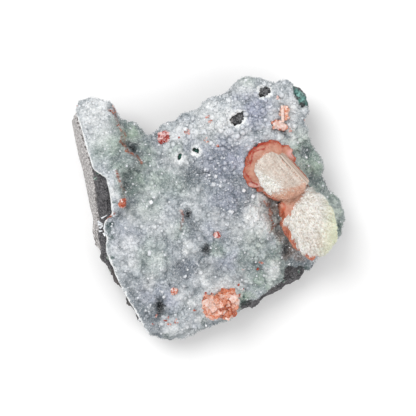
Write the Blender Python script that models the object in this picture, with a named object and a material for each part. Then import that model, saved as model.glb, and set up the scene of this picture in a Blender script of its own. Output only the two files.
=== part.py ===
"""A plate of drusy chalcedony over basalt that carries red-rimmed sheaf crystals, about 129 mm across.

The basalt block lies on its flat underside. Its left side is sawn and the rest is broken. A crust of
lumpy chalcedony covers the top, with small windows and broken edges that show the dark basalt. A pair
of sheaf crystals, a cluster of blocky red crystals and a few small groups sit on the crust.
Metres, +Z up. The origin is on the underside, below the middle of the plate. Tables read in millimetres.
"""

import math
import random

import bmesh
import bpy
import numpy as np
from mathutils import Euler, Matrix, Vector

MM = 0.001
SEED = 7

GAP = 0.3 * MM
CRUST_THICKNESS = 3.4 * MM
SHOULDER_WIDTH = 5.0 * MM
SHOULDER_DROP = 5.0 * MM
BROKEN_EDGE_WIDTH = 1.4 * MM
BROKEN_EDGE_DROP = 2.0 * MM
SHELF_EDGE = 2.2 * MM
LEVEL_REACH = 8.0 * MM

TERRAIN_HALF = 69.0 * MM
CRUST_CELLS = 116
BED_CELLS = 24
BED_REACH = 0.75
BED_BEARINGS = 12
CRUST_KEEP = 0.135
OUTSIDE_MARGIN = 2.5 * MM

BEAD_SPACING = 5.6 * MM
BEAD_SHAKE = 0.32
BEAD_RADIUS = (2.5 * MM, 4.3 * MM)
BEAD_HEIGHT = 1.25 * MM

SEAT_PAIR = 28.6 * MM
PEDESTAL = 30.0 * MM
PEDESTAL_RIM = 2.5 * MM
TALL = 80.0 * MM
FLOOR = -10.0 * MM

# Edge of the crust, clockwise from the left lobe's left corner
CRUST_EDGE = [
    (-59.4, 44.8), (-58.0, 49.8), (-53.0, 50.7), (-45.0, 49.4), (-42.5, 46.6), (-40.4, 40.8),
    (-34.5, 40.6), (-31.1, 37.9), (-28.4, 34.8), (-26.1, 34.3), (-20.9, 37.4), (-19.5, 39.2),
    (-16.3, 39.7), (-10.3, 44.1), (-4.3, 45.5), (-1.1, 49.1), (2.6, 51.6), (8.5, 52.3),
    (14.5, 58.7), (19.9, 61.2), (26.5, 59.4), (29.4, 58.2), (36.0, 58.9), (39.2, 58.3),
    (40.1, 52.3), (42.9, 46.8), (46.2, 47.4), (47.2, 45.2), (44.5, 41.1), (46.1, 38.0),
    (49.5, 28.5), (53.7, 23.4), (55.1, 20.1), (52.9, 15.1), (57.9, 7.6), (62.2, 3.9),
    (64.4, -1.8), (63.2, -9.8), (60.3, -14.4), (56.5, -18.9), (50.6, -23.2), (47.4, -28.4),
    (45.9, -25.5), (41.2, -26.9), (35.6, -25.4), (35.9, -32.4), (26.4, -39.5), (23.1, -42.3),
    (16.1, -42.3), (15.7, -46.5), (11.9, -50.7), (2.6, -54.2), (-9.1, -59.1), (-16.1, -61.0),
    (-23.1, -59.6), (-27.3, -58.2), (-35.1, -44.6), (-41.0, -33.3), (-45.6, -22.1), (-47.0, -18.4),
    (-46.0, -13.8), (-47.8, -9.6), (-47.2, -5.4), (-43.4, -1.7), (-43.8, 4.2), (-45.9, 14.3),
    (-51.8, 17.9), (-54.9, 28.4),
]

# Stretches of that edge, by point number, where the crust is broken through instead of rounded over
BROKEN_STRETCHES = ((56, 68), (23, 26), (41, 50))

# Upper rim of the basalt: x, y, z, and how far its foot stands outside the rim
BASALT_RIM = [
    (-58.8, 47.3, 33, -3), (-51.0, 48.7, 33, -5), (-44.2, 47.3, 33, -5), (-41.1, 40.1, 30, -4),
    (-36.3, 39.0, 26, -4), (-30.8, 36.3, 24, -3), (-26.2, 32.6, 23, -2), (-20.6, 36.2, 25, -3),
    (-9.9, 42.5, 28, -5), (-1.1, 47.6, 29, -6), (5.3, 50.7, 30, -7), (11.8, 53.5, 30, -8),
    (17.3, 58.5, 30, -9), (21.0, 59.9, 30, -9), (29.2, 56.7, 30, -7), (38.4, 57.6, 30, -7),
    (43.4, 56.2, 31, -7), (46.3, 50.2, 30, -6), (45.6, 45.6, 28, -4), (44.7, 41.7, 26, -3),
    (48.9, 27.7, 20, -4), (53.6, 21.6, 19, -5), (52.3, 15.1, 19, -3), (56.6, 9.1, 18, -4),
    (61.6, 2.9, 17, -5), (63.4, -2.3, 16, -6), (62.8, -9.9, 16, -6), (59.6, -16.0, 16, -5),
    (52.2, -22.0, 17, -4), (48.0, -27.5, 17, -2), (43.4, -32.2, 17, 0), (38.2, -33.6, 17, 0),
    (34.4, -36.6, 16, 0.5), (30.2, -39.2, 17, 0.5), (26.8, -41.0, 16, -1), (23.6, -43.6, 16, 0),
    (19.6, -45.3, 15, 0), (15.3, -47.3, 16, -1), (10.1, -51.0, 16, -2), (2.6, -54.3, 16, -3),
    (-4.0, -57.1, 16, -4), (-14.7, -59.9, 16, -5), (-26.0, -59.5, 16, -4), (-30.6, -53.3, 17, -1),
    (-36.6, -42.4, 19, -1), (-43.5, -31.1, 21, -0.5), (-47.6, -23.6, 22, 0.5), (-49.4, -17.1, 23, 1.5),
    (-50.8, -9.6, 24, 2.5), (-50.2, -4.6, 26, 4.2), (-50.5, 2.0, 28, 5.5), (-51.8, 11.6, 29, 6),
    (-53.5, 19.9, 31, 6), (-55.7, 27.6, 32, 6), (-57.9, 35.8, 33, 5.5), (-60.2, 42.7, 33, 4.5),
]
SAWN_SIDE = range(49, 56)

# Broken walls: share of the way up from the foot, how far they swell out there, and the roughness
WALL_COURSES = (
    (0.0, -1.2, 0.3), (0.10, 0.4, 0.6), (0.34, 1.1, 1.3),
    (0.58, 0.2, 1.3), (0.80, 0.7, 0.9), (1.0, 0.0, 0.0),
)

# Ground levels of the crust's top: x, y, z
LEVELS = [
    (-42, 26, 30), (-35, 34, 27), (-26, 28, 27), (-20, 34, 29), (-10, 38, 32), (0, 44, 33.5),
    (12, 50, 35), (26, 54, 35.5), (38, 53, 34), (44, 47, 32), (20, 42, 34.5), (8, 34, 33.5),
    (-6, 30, 31), (-16, 22, 29.5), (14, 24, 33), (2, 20, 30), (-8, 12, 29), (-22, 12, 28),
    (-32, 12, 27.5), (-31, 2, 26.5), (8, 10, 30.5), (18, 12, 32), (40, 40, 31), (42, 30, 29),
    (-16, 0, 28.5), (-40, -8, 26), (-42, -18, 26), (-30, -14, 27), (-6, -6, 28), (10, -4, 30),
    (22, -4, 31.5), (27, 4, 29), (32, 10, 30), (-20, -18, 27), (-36, -32, 24.5), (-24, -36, 24),
    (-12, -28, 25.5), (2, -20, 26), (14, -20, 27), (26, -16, 28.5), (34, -18, 26), (30, -28, 26),
    (16, -32, 26.5), (4, -34, 26), (-10, -42, 24.5), (-24, -50, 22), (-14, -56, 20.5), (0, -50, 22.5),
    (12, -46, 24), (24, -38, 24), (42, -24, 22), (46, -26, 20), (48, 22, 26), (52, 20, 24.5),
    (52, 12, 25), (58, 4, 23.5), (62, -4, 22), (61, -12, 21.5), (55, -19, 22), (40, 4, 30),
    (44, -6, 30), (46, -14, 29), (36, -8, 29.5), (30, 22, 32),
]

# The left lobe stands above the basin and drops to it along this outline
SHELF = [
    (-66, 54), (-43.0, 54), (-43.0, 47.0), (-40.7, 40.7), (-38.9, 36.1), (-37.1, 32.5), (-38.4, 30.2),
    (-36.2, 27.0), (-33.4, 24.7), (-30.2, 21.5), (-33.5, 18.5), (-38.0, 17.0), (-40.0, 13.4),
    (-38.2, 8.8), (-37.3, 4.2), (-37.7, 0.6), (-42.3, -2.4), (-52.0, -3.0), (-62.0, 20.0),
]
SHELF_TOP = 38.0
SHELF_TOP_Y = 45.0
SHELF_FALL = 0.085

# Rounded lumps: x, y, radius, height
LUMPS = [
    (23.6, -5.4, 9.5, 4.6), (32.0, -15.5, 4.4, 2.2), (0.7, -5.9, 7.2, 2.8), (-19.1, -5.0, 8.5, 2.8),
    (-33.0, -20.2, 6.5, 2.2), (-21.5, -24.4, 5.2, 1.8), (-27.1, -31.9, 4.0, 2.0), (-7.6, -15.6, 5.8, 2.4),
    (-27.1, -43.1, 4.2, 2.0), (4.5, -43.5, 9.5, 2.2), (9.1, -28.1, 7.5, 2.8), (29.5, -28.2, 5.4, 2.2),
    (-15.8, 27.2, 6.2, 2.2), (3.9, 40.0, 6.2, 1.6), (-17.7, 36.4, 3.6, 1.8), (19.0, 55.5, 6.0, 1.6),
    (36.0, 53.6, 6.0, 1.4), (13.6, 31.8, 5.2, 1.6), (-35.2, 35.1, 5.4, 4.2), (39.3, 37.3, 4.0, 2.2),
    (41.2, 29.5, 4.2, 3.0), (45.7, 21.0, 4.4, 2.8), (51.0, 19.2, 4.0, 2.4), (60.5, -1.3, 4.2, 1.4),
    (-43.0, -12.4, 4.6, 1.6), (-13.2, -53.0, 5.2, 2.0), (-11.5, -38.0, 4.4, 1.8), (-46.0, 32.0, 7.0, 1.2),
]

# Pits and hollows: x, y, radius along x, radius along y, turn in degrees, depth
PITS = [
    (-8.3, -2.0, 2.0, 3.2, 10, 5.0), (-0.2, -18.8, 1.9, 3.4, 20, 4.6), (-21.9, -45.6, 2.4, 5.2, 8, 7.0),
    (-1.5, 16.7, 4.2, 2.0, 12, 2.6), (-34.6, 27.4, 2.6, 2.4, 0, 4.0), (-33.0, 8.0, 2.4, 8.0, 10, 2.0),
    (37.4, -18.4, 2.6, 3.6, 25, 4.0), (12.0, -16.5, 9.0, 2.2, -8, 1.6), (-14.0, -20.0, 3.0, 7.0, -30, 1.4),
    (3.0, -26.0, 8.0, 2.4, 25, 1.3), (46.5, 27.0, 1.8, 5.0, 18, 2.6), (-29.0, -37.5, 3.6, 1.6, 30, 1.8),
    (26.6, 8.0, 2.2, 5.0, 30, 2.2), (29.6, -4.0, 2.4, 8.0, 14, 2.6),
]

# Windows through the crust: x, y, half length, half width, turn in degrees
WINDOWS = [
    (14.3, 41.4, 3.4, 2.7, 40), (26.6, 53.8, 2.8, 2.1, 30), (-12.2, 24.1, 1.7, 1.1, 60),
    (-4.6, 26.9, 1.7, 1.5, 0),
]
WINDOW_RECESS = 1.3 * MM
WINDOW_SLACK = 1.08
KNOB_DEPTH = 9.0 * MM

# Chips that bring the basalt into view: centre, half sizes, turns about X, Y and Z in degrees
CHIPS = [
    ((46.5, -36.5, 25.0), (16.0, 9.0, 9.0), (34, 0, 33)),
    ((51.0, 53.0, 40.0), (7.0, 12.0, 9.0), (0, 38, 12)),
    ((-46.5, 8.0, 40.2), (5.0, 14.0, 9.0), (0, -9, -9)),
    ((22.0, -50.5, 24.0), (14.0, 6.5, 8.0), (38, 0, 28)),
    ((0.0, 62.0, 8.0), (26.0, 10.0, 7.0), (-12, 4, 32)),
    ((66.0, -26.0, 4.0), (10.0, 14.0, 6.5), (0, 14, -38)),
    ((-6.0, -68.0, 7.0), (24.0, 10.0, 10.0), (-16, 3, 24)),
    ((40.0, -50.0, 2.0), (18.0, 10.0, 6.0), (-22, 0, 38)),
    ((70.0, 12.0, 8.0), (12.0, 22.0, 8.0), (6, -18, -12)),
    ((56.0, 44.0, 8.0), (9.0, 22.0, 12.0), (4, 12, 12)),
    ((-42.0, -48.0, 2.0), (10.0, 22.0, 7.0), (0, 26, 30)),
]

# Upper sheaf: the tapered block's top and foot outlines, and the tips of its lower collar blades
BLOCK_TOP = [
    (21.6, 19.2), (23.4, 22.4), (25.6, 25.4), (28.6, 26.4), (32.4, 24.6), (44.0, 13.0), (45.4, 11.4),
    (43.0, 6.8), (36.0, 4.0), (29.0, 5.8), (26.0, 8.6), (24.0, 13.6),
]
BLOCK_TOP_Z = 47.0
BLOCK_CROWN = 1.2
BLOCK_FOOT_SHARE = 0.9
COLLAR_HUB = (30.5, 17.0)
COLLAR_HUB_TOP = 42.0
COLLAR_HUB_HALF = 3.0
COLLAR_TIPS = [
    (35.2, 29.4, 3.6, 38.0), (30.6, 31.9, 3.8, 39.0), (25.4, 30.4, 3.4, 38.4), (20.2, 27.2, 3.6, 38.6),
    (17.8, 22.8, 3.4, 37.6), (16.6, 16.0, 3.6, 38.0), (18.9, 11.2, 3.2, 37.2), (23.0, 8.9, 3.0, 36.2),
    (39.4, 22.6, 3.2, 37.6),
]

# Lower sheaf: blades that fan out from the waist: x, y of the tip, half width and top height there
WAIST = (38.5, 5.0)
WAIST_TOP = 42.4
WAIST_HALF = 3.4
FAN_TIPS = [
    (34.0, -4.6, 3.6, 37.8), (36.4, -12.8, 3.8, 39.0), (40.8, -18.2, 3.8, 40.0), (47.6, -22.6, 3.8, 40.6),
    (53.6, -18.9, 4.0, 41.2), (58.2, -13.4, 4.0, 41.0), (58.4, -5.6, 4.0, 40.6), (55.4, 1.6, 3.8, 40.0),
    (49.6, 6.6, 3.6, 39.6),
]
FAN_CROWN = 3.4

# How far in a blade's foot stands, as a share of its reach, and the slant of its end
FOOT_SHARE = 0.84
BLADE_BEVEL = 2.4

# The crust is level here, under the sheaves' feet
PAIR_FOOT = [
    (19.6, 26.8), (25.0, 30.0), (31.0, 31.4), (35.6, 29.2), (39.6, 22.8), (46.4, 12.6), (50.6, 6.6),
    (56.0, 1.0), (57.6, -6.0), (56.8, -13.0), (52.6, -18.0), (46.6, -21.4), (41.0, -18.6), (36.2, -12.4),
    (33.4, -4.0), (31.0, 2.0), (23.0, 9.2), (18.0, 11.4), (16.6, 17.0), (17.6, 23.0),
]

# Blocky crystals: x, y, height of the middle, half width, half height, turns about X, Y and Z in degrees
RED_CLUSTER = [
    (2.9, -45.2, 28.8, 3.6, 2.9, (12, -8, 20)), (0.9, -43.2, 28.0, 2.3, 2.2, (-14, 10, 50)),
    (5.0, -42.8, 29.0, 2.7, 2.5, (8, 14, 5)), (10.3, -40.9, 29.8, 3.0, 2.7, (-10, 12, 32)),
    (12.0, -42.9, 28.9, 2.4, 2.3, (16, 20, 12)), (8.3, -44.5, 28.8, 2.8, 2.7, (4, -12, 62)),
    (9.3, -46.9, 27.9, 2.7, 2.5, (22, 8, 38)), (5.0, -47.6, 27.4, 2.1, 2.1, (-20, -6, 74)),
    (7.2, -40.0, 28.4, 1.8, 1.9, (0, 18, 44)),
]

SMALL_GROUPS = {
    "small_crystals_upper_left": [
        (-20.6, 33.4, 0.9, 1.6, 1.3, (20, 0, 30)), (-18.6, 33.0, 0.8, 1.5, 1.3, (-10, 24, 5)),
        (-19.8, 31.6, 0.7, 1.4, 1.2, (8, -18, 60)), (-18.9, 34.9, 0.6, 1.1, 1.0, (0, 12, 20)),
    ],
    "small_crystals_lower": [
        (-15.6, -37.2, 0.8, 1.3, 1.1, (14, 6, 15)), (-14.0, -37.6, 0.7, 1.1, 1.0, (-12, 20, 50)),
        (-15.2, -38.9, 0.6, 1.0, 0.9, (6, -14, 35)),
    ],
    "small_crystals_centre": [
        (4.0, -11.3, 0.7, 1.1, 1.0, (10, 10, 25)), (5.8, -11.5, 0.7, 1.0, 0.9, (-16, 4, 60)),
        (4.1, -12.7, 0.5, 0.8, 0.8, (4, -10, 10)),
    ],
    "small_crystals_right": [
        (35.0, 44.4, 0.9, 1.5, 1.3, (10, 12, 12)), (35.9, 42.2, 0.8, 1.4, 1.2, (-14, 8, 40)),
        (36.6, 46.4, 0.7, 1.2, 1.1, (8, -16, 70)),
    ],
    "small_crystals_mid_right": [
        (31.2, 38.9, 0.9, 1.7, 1.2, (12, 4, 8)), (33.6, 38.5, 0.8, 1.6, 1.2, (-10, 14, 36)),
        (35.8, 37.6, 0.6, 1.3, 1.0, (6, -12, 62)),
    ],
    "small_crystals_left": [
        (-38.6, 2.0, 0.6, 1.2, 1.1, (12, 8, 30)), (-37.9, 3.6, 0.5, 1.0, 1.0, (-10, 14, 55)),
    ],
}


def polygon(points):
    """The outline as an array in metres."""
    return np.array(points, float)[:, :2] * MM


def inside(x, y, outline):
    """True where a point lies inside the closed outline."""
    found = np.zeros(np.shape(x), bool)
    for (ax, ay), (bx, by) in zip(outline, np.roll(outline, -1, axis=0)):
        crosses = (ay > y) != (by > y)
        rise = by - ay if by != ay else 1e-12
        found ^= crosses & (x < (bx - ax) * (y - ay) / rise + ax)
    return found


def distance_to(x, y, ends):
    """Distance from each point to the nearest of the segments, given as pairs of ends."""
    nearest = np.full(np.shape(x), 1.0)
    for (ax, ay), (bx, by) in ends:
        dx, dy = bx - ax, by - ay
        along = np.clip(((x - ax) * dx + (y - ay) * dy) / (dx * dx + dy * dy), 0.0, 1.0)
        nearest = np.minimum(nearest, np.hypot(x - ax - along * dx, y - ay - along * dy))
    return nearest


def segments(outline):
    """Pairs of ends of the closed outline's sides."""
    return list(zip(outline, np.roll(outline, -1, axis=0)))


def eased(t):
    """A smooth step from 0 to 1."""
    t = np.clip(t, 0.0, 1.0)
    return t * t * (3.0 - 2.0 * t)


def cap(x, y, centre, radius):
    """A round cap from 0 at its edge to 1 at its centre."""
    return np.maximum(0.0, 1.0 - ((x - centre[0]) ** 2 + (y - centre[1]) ** 2) / radius**2)


def dish(x, y, centre, half_x, half_y, turn):
    """An oval cap turned about its centre."""
    c, s = math.cos(math.radians(turn)), math.sin(math.radians(turn))
    along = c * (x - centre[0]) + s * (y - centre[1])
    across = c * (y - centre[1]) - s * (x - centre[0])
    return np.maximum(0.0, 1.0 - (along / half_x) ** 2 - (across / half_y) ** 2)


def ground(x, y):
    """The crust's top without its small beads or its edge."""
    total = np.zeros(np.shape(x))
    weights = np.full(np.shape(x), 1e-9)
    for lx, ly, lz in LEVELS:
        near = np.exp(-((x - lx * MM) ** 2 + (y - ly * MM) ** 2) / (2 * LEVEL_REACH**2))
        total += near * lz * MM
        weights += near
    level = total / weights
    shelf = polygon(SHELF)
    depth = distance_to(x, y, segments(shelf)) * np.where(inside(x, y, shelf), 1, -1)
    shelf_level = SHELF_TOP * MM + (y - SHELF_TOP_Y * MM) * SHELF_FALL
    level = level + (shelf_level - level) * eased(depth / SHELF_EDGE + 0.5)
    feet = polygon(PAIR_FOOT)
    clear = distance_to(x, y, segments(feet)) * np.where(inside(x, y, feet), -1, 1)
    level = level + (PEDESTAL - level) * eased(1.0 - clear / PEDESTAL_RIM)
    for lx, ly, radius, height in LUMPS:
        level = level + height * MM * np.sqrt(cap(x, y, (lx * MM, ly * MM), radius * MM))
    for px, py, half_x, half_y, turn, depth in PITS:
        level = level - depth * MM * dish(x, y, (px * MM, py * MM), half_x * MM, half_y * MM, turn)
    return level


def stretch(edge, broken):
    """The sides of the crust's edge that are broken through, or those that are rounded over."""
    numbers = {i % len(edge) for first, last in BROKEN_STRETCHES for i in range(first, last)}
    return [ends for i, ends in enumerate(segments(edge)) if (i in numbers) == broken]


def shoulder(x, y):
    """How far the crust falls away towards the edges that it wraps round."""
    away = distance_to(x, y, stretch(polygon(CRUST_EDGE), broken=False))
    t = np.clip(1.0 - away / SHOULDER_WIDTH, 0.0, 1.0)
    return SHOULDER_DROP * (1.0 - np.sqrt(1.0 - t * t))


def beads(x, y):
    """Botryoidal beads: round caps on a shaken grid, the highest of them at each point."""
    chance = random.Random(SEED)
    found = np.zeros(np.shape(x))
    steps = int(TERRAIN_HALF / BEAD_SPACING) + 1
    for i in range(-steps, steps + 1):
        for j in range(-steps, steps + 1):
            centre = (
                (i + 0.5 * (j % 2) + chance.uniform(-BEAD_SHAKE, BEAD_SHAKE)) * BEAD_SPACING,
                (j + chance.uniform(-BEAD_SHAKE, BEAD_SHAKE)) * BEAD_SPACING,
            )
            radius = chance.uniform(*BEAD_RADIUS)
            found = np.maximum(found, radius / BEAD_RADIUS[1] * np.sqrt(cap(x, y, centre, radius)))
    return BEAD_HEIGHT * found


def crust_top(x, y):
    """The crust's upper surface, with its beads and its edge."""
    edge = polygon(CRUST_EDGE)
    away = distance_to(x, y, stretch(edge, broken=True))
    fallen = BROKEN_EDGE_DROP * (1.0 - eased(away / BROKEN_EDGE_WIDTH))
    outside = ~inside(x, y, edge) & (distance_to(x, y, segments(edge)) > OUTSIDE_MARGIN)
    return ground(x, y) + np.where(outside, 0.0, beads(x, y)) - shoulder(x, y) - fallen


def bed(x, y):
    """The basalt under the crust: the lowest ground about one cell round, less the crust's thickness."""
    reach = BED_REACH * 2 * TERRAIN_HALF / BED_CELLS
    lowest = np.full(np.shape(x), 1.0)
    for share in (0.0, 0.33, 0.66, 1.0):
        for i in range(BED_BEARINGS if share else 1):
            angle = i * math.tau / BED_BEARINGS
            px = x + share * reach * math.cos(angle)
            py = y + share * reach * math.sin(angle)
            lowest = np.minimum(lowest, ground(px, py) - shoulder(px, py))
    return lowest - CRUST_THICKNESS


def material(name, colour, roughness):
    """A plain stone material."""
    made = bpy.data.materials.new(name)
    made.use_nodes = True
    shader = made.node_tree.nodes["Principled BSDF"]
    shader.inputs["Base Color"].default_value = (*colour, 1.0)
    shader.inputs["Roughness"].default_value = roughness
    shader.inputs["Metallic"].default_value = 0.0
    return made


def object_of(bm, name, collection, stone=None):
    """Turns the working mesh into an object of flat triangles that point out."""
    bmesh.ops.triangulate(bm, faces=bm.faces)
    bmesh.ops.recalc_face_normals(bm, faces=bm.faces)
    mesh = bpy.data.meshes.new(name)
    bm.to_mesh(mesh)
    bm.free()
    made = bpy.data.objects.new(name, mesh)
    collection.objects.link(made)
    if stone is None:
        made.hide_render = True
        made.display_type = "WIRE"
    else:
        mesh.materials.append(stone)
    return made


def cut(target, operation, other):
    """A Boolean that stays on the target, with one object or a collection of them.

    EXACT leaves edges with more than two faces where these rough surfaces cross, and MANIFOLD doesn't.
    """
    step = target.modifiers.new(other.name, "BOOLEAN")
    step.operation = operation
    step.solver = "MANIFOLD"
    if isinstance(other, bpy.types.Collection):
        step.operand_type = "COLLECTION"
        step.collection = other
    else:
        step.object = other
    return step


def terrain_block(name, height, cells, far_side, collection, stone=None, lift=0.0):
    """The space between a surface given by its height and the level far_side."""
    bm = bmesh.new()
    bmesh.ops.create_grid(bm, x_segments=cells, y_segments=cells, size=TERRAIN_HALF)
    x = np.array([v.co.x for v in bm.verts])
    y = np.array([v.co.y for v in bm.verts])
    for vertex, z in zip(bm.verts, height(x, y) + lift):
        vertex.co.z = z
    rim = [edge for edge in bm.edges if edge.is_boundary]
    skirt = bmesh.ops.extrude_edge_only(bm, edges=rim)["geom"]
    for part in skirt:
        if isinstance(part, bmesh.types.BMVert):
            part.co.z = far_side
    open_rim = [edge for edge in bm.edges if edge.is_boundary]
    bmesh.ops.contextual_create(bm, geom=open_rim)
    return object_of(bm, name, collection, stone)


def prism(name, outline, low, high, collection, grow=0.0):
    """An upright prism on a flat outline, grown outwards by the width given."""
    bm = bmesh.new()
    centre = outline.mean(axis=0)
    ring = []
    for point in outline:
        out = point - centre
        moved = point + out / np.hypot(*out) * grow
        ring.append(bm.verts.new((moved[0], moved[1], low)))
    face = bm.faces.new(ring)
    raised = bmesh.ops.extrude_face_region(bm, geom=[face])["geom"]
    bmesh.ops.translate(
        bm,
        vec=(0, 0, high - low),
        verts=[part for part in raised if isinstance(part, bmesh.types.BMVert)],
    )
    return object_of(bm, name, collection)


def oval(name, centre, half_x, half_y, turn, low, high, collection, sides=14, shake=0.0):
    """An upright oval cylinder, its side shaken a little where it cuts a natural hole."""
    bm = bmesh.new()
    bmesh.ops.create_cone(
        bm, cap_ends=True, cap_tris=False, segments=sides, radius1=1.0, radius2=1.0, depth=high - low
    )
    chance = random.Random(f"{name}{SEED}")
    shares = [1.0 + chance.uniform(-shake, shake) for _ in range(sides)]
    for vertex in bm.verts:
        angle = math.atan2(vertex.co.y, vertex.co.x)
        share = shares[round(angle / math.tau * sides) % sides]
        vertex.co.x *= half_x * share
        vertex.co.y *= half_y * share
    turned = Matrix.Rotation(math.radians(turn), 4, "Z")
    moved = Matrix.Translation((centre[0], centre[1], (low + high) / 2))
    bm.transform(moved @ turned)
    return object_of(bm, name, collection)


def hull_object(name, points, collection, stone=None):
    """The flat-faced block that the points span."""
    bm = bmesh.new()
    for point in points:
        bm.verts.new(Vector(point) * MM)
    made = bmesh.ops.convex_hull(bm, input=bm.verts)
    loose = [part for part in made["geom_interior"] if isinstance(part, bmesh.types.BMVert)]
    bmesh.ops.delete(bm, geom=loose, context="VERTS")
    return object_of(bm, name, collection, stone)


def joined(name, pieces, collection, cutters, stone):
    """One solid from overlapping blocks: the first carries the others as Boolean unions."""
    group = bpy.data.collections.new(f"{name}_blocks")
    group.hide_render = True
    cutters.children.link(group)
    first = hull_object(name, pieces[0], collection, stone)
    for number, points in enumerate(pieces[1:], 1):
        hull_object(f"{name}_block_{number}", points, group)
    cut(first, "UNION", group)
    return first


def block_points(x, y, z, half_width, half_height, turns, corner=0.42):
    """Corners of a squarish apophyllite block whose eight corners are cut by pyramid faces."""
    turned = Euler([math.radians(angle) for angle in turns]).to_matrix()
    short = half_width * corner
    found = []
    for sx in (-1, 1):
        for sy in (-1, 1):
            for sz in (-1, 1):
                for cut_at in range(3):
                    arm = [half_width, half_width, half_height]
                    arm[cut_at] -= short
                    spot = turned @ Vector((sx * arm[0], sy * arm[1], sz * arm[2]))
                    found.append((x + spot.x, y + spot.y, z + spot.z))
    return found


def blade_points(hub, hub_top, hub_half, tip, crown, foot):
    """A crystal blade from the hub out to its tip: flat sides, a crowned top and a pointed end."""
    tip_x, tip_y, half, tip_top = tip
    along = Vector((tip_x - hub[0], tip_y - hub[1]))
    length = along.length
    along /= length
    across = Vector((-along.y, along.x))
    found = []
    stations = (
        (0.0, hub_half, hub_top),
        (0.55 * length, half, (hub_top + tip_top) / 2 + crown),
        (0.86 * length, half, tip_top + crown / 3),
    )
    for reach, width, top in stations:
        for side in (-1, 1):
            spot = Vector(hub) + along * reach + across * side * width
            low = Vector(hub) + along * reach * FOOT_SHARE + across * side * width * FOOT_SHARE
            found.append((spot.x, spot.y, top))
            found.append((low.x, low.y, foot))
    for side in (-1, 1):
        spot = Vector((tip_x, tip_y)) + across * side * half * 0.4
        found.append((spot.x, spot.y, tip_top - BLADE_BEVEL))
        found.append((spot.x, spot.y, (tip_top + foot) / 2))
    return found


def basalt_matrix(collection, cutters, stone):
    """The dark block: rough courses of wall from the flat foot to the rim, cut off by the bed."""
    chance = random.Random(SEED + 1)
    rim = np.array(BASALT_RIM, float) * MM
    outline = rim[:, :2]
    before, after = np.roll(outline, 1, axis=0), np.roll(outline, -1, axis=0)
    run = after - before
    outward = np.stack([-run[:, 1], run[:, 0]], axis=1) / np.hypot(*run.T)[:, None]
    bm = bmesh.new()
    courses = []
    for share, swell, rough in WALL_COURSES:
        course = []
        for i, (x, y, top, foot) in enumerate(rim):
            sawn = i in SAWN_SIDE
            shift = foot * (1.0 - share)
            if not sawn:
                shift += (swell + chance.uniform(-rough, rough)) * MM
            spot = outline[i] + outward[i] * shift
            course.append(bm.verts.new((spot[0], spot[1], top * share)))
        courses.append(course)
    courses.append([bm.verts.new((x, y, TALL)) for x, y in outline])
    count = len(rim)
    for low, high in zip(courses, courses[1:]):
        for i in range(count):
            bm.faces.new((low[i], low[(i + 1) % count], high[(i + 1) % count], high[i]))
    bm.faces.new(courses[0])
    bm.faces.new(courses[-1])
    block = object_of(bm, "basalt_matrix", collection, stone)
    cut(block, "INTERSECT", terrain_block("below_bed", bed, BED_CELLS, FLOOR, cutters))
    chips = bpy.data.collections.new("chips")
    chips.hide_render = True
    cutters.children.link(chips)
    for number, (centre, halves, turns) in enumerate(CHIPS):
        chip = bmesh.new()
        bmesh.ops.create_cube(chip, size=2.0)
        turned = Euler([math.radians(angle) for angle in turns]).to_matrix().to_4x4()
        sized = Matrix.Diagonal((*halves, 1.0))
        chip.transform(Matrix.Scale(MM, 4) @ Matrix.Translation(centre) @ turned @ sized)
        object_of(chip, f"chip_{number}", chips)
    cut(block, "DIFFERENCE", chips)
    knobs = bpy.data.collections.new("window_knobs")
    knobs.hide_render = True
    cutters.children.link(knobs)
    for number, (x, y, half_x, half_y, turn) in enumerate(WINDOWS):
        top = float(crust_top(np.array([x * MM]), np.array([y * MM]))[0]) - WINDOW_RECESS
        oval(
            f"knob_{number}", (x * MM, y * MM), half_x * MM, half_y * MM, turn,
            top - KNOB_DEPTH, top, knobs, sides=9, shake=0.06,
        )
    cut(block, "UNION", knobs)
    return block


def chalcedony_crust(collection, cutters, stone, sockets):
    """The pale lumpy crust: a surface with its beads, cut to its edge and lifted off the basalt's bed."""
    crust = terrain_block("chalcedony_crust", crust_top, CRUST_CELLS, FLOOR, collection, stone)
    fewer = crust.modifiers.new("fewer faces", "DECIMATE")
    fewer.ratio = CRUST_KEEP
    cut(crust, "INTERSECT", prism("crust_edge", polygon(CRUST_EDGE), FLOOR / 2, TALL, cutters))
    cut(crust, "INTERSECT", terrain_block("above_bed", bed, BED_CELLS, TALL, cutters, lift=GAP))
    holes = bpy.data.collections.new("crust_holes")
    holes.hide_render = True
    cutters.children.link(holes)
    for number, (x, y, half_x, half_y, turn) in enumerate(WINDOWS):
        oval(
            f"window_{number}", (x * MM, y * MM), half_x * MM * WINDOW_SLACK + GAP,
            half_y * MM * WINDOW_SLACK + GAP, turn, 0.0, TALL, holes, sides=12, shake=0.05,
        )
    for name, outline, low in sockets:
        prism(name, outline, low, TALL, holes, grow=GAP)
    cut(crust, "DIFFERENCE", holes)
    return crust


def upper_sheaf():
    """The tapered block and the lower collar of blades round its outer end."""
    foot = SEAT_PAIR / MM
    middle = np.mean(BLOCK_TOP, axis=0)
    core = [(x, y, BLOCK_TOP_Z) for x, y in BLOCK_TOP]
    for x, y in BLOCK_TOP:
        core.append(((x + middle[0]) / 2, (y + middle[1]) / 2, BLOCK_TOP_Z + BLOCK_CROWN))
        core.append((*(middle + (np.array((x, y)) - middle) * BLOCK_FOOT_SHARE), foot))
    hub = (COLLAR_HUB, COLLAR_HUB_TOP, COLLAR_HUB_HALF)
    return [core] + [blade_points(*hub, tip, 0.0, foot) for tip in COLLAR_TIPS]


def lower_sheaf():
    """Blades that fan out from the waist."""
    foot = SEAT_PAIR / MM
    return [blade_points(WAIST, WAIST_TOP, WAIST_HALF, tip, FAN_CROWN, foot) for tip in FAN_TIPS]


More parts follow.
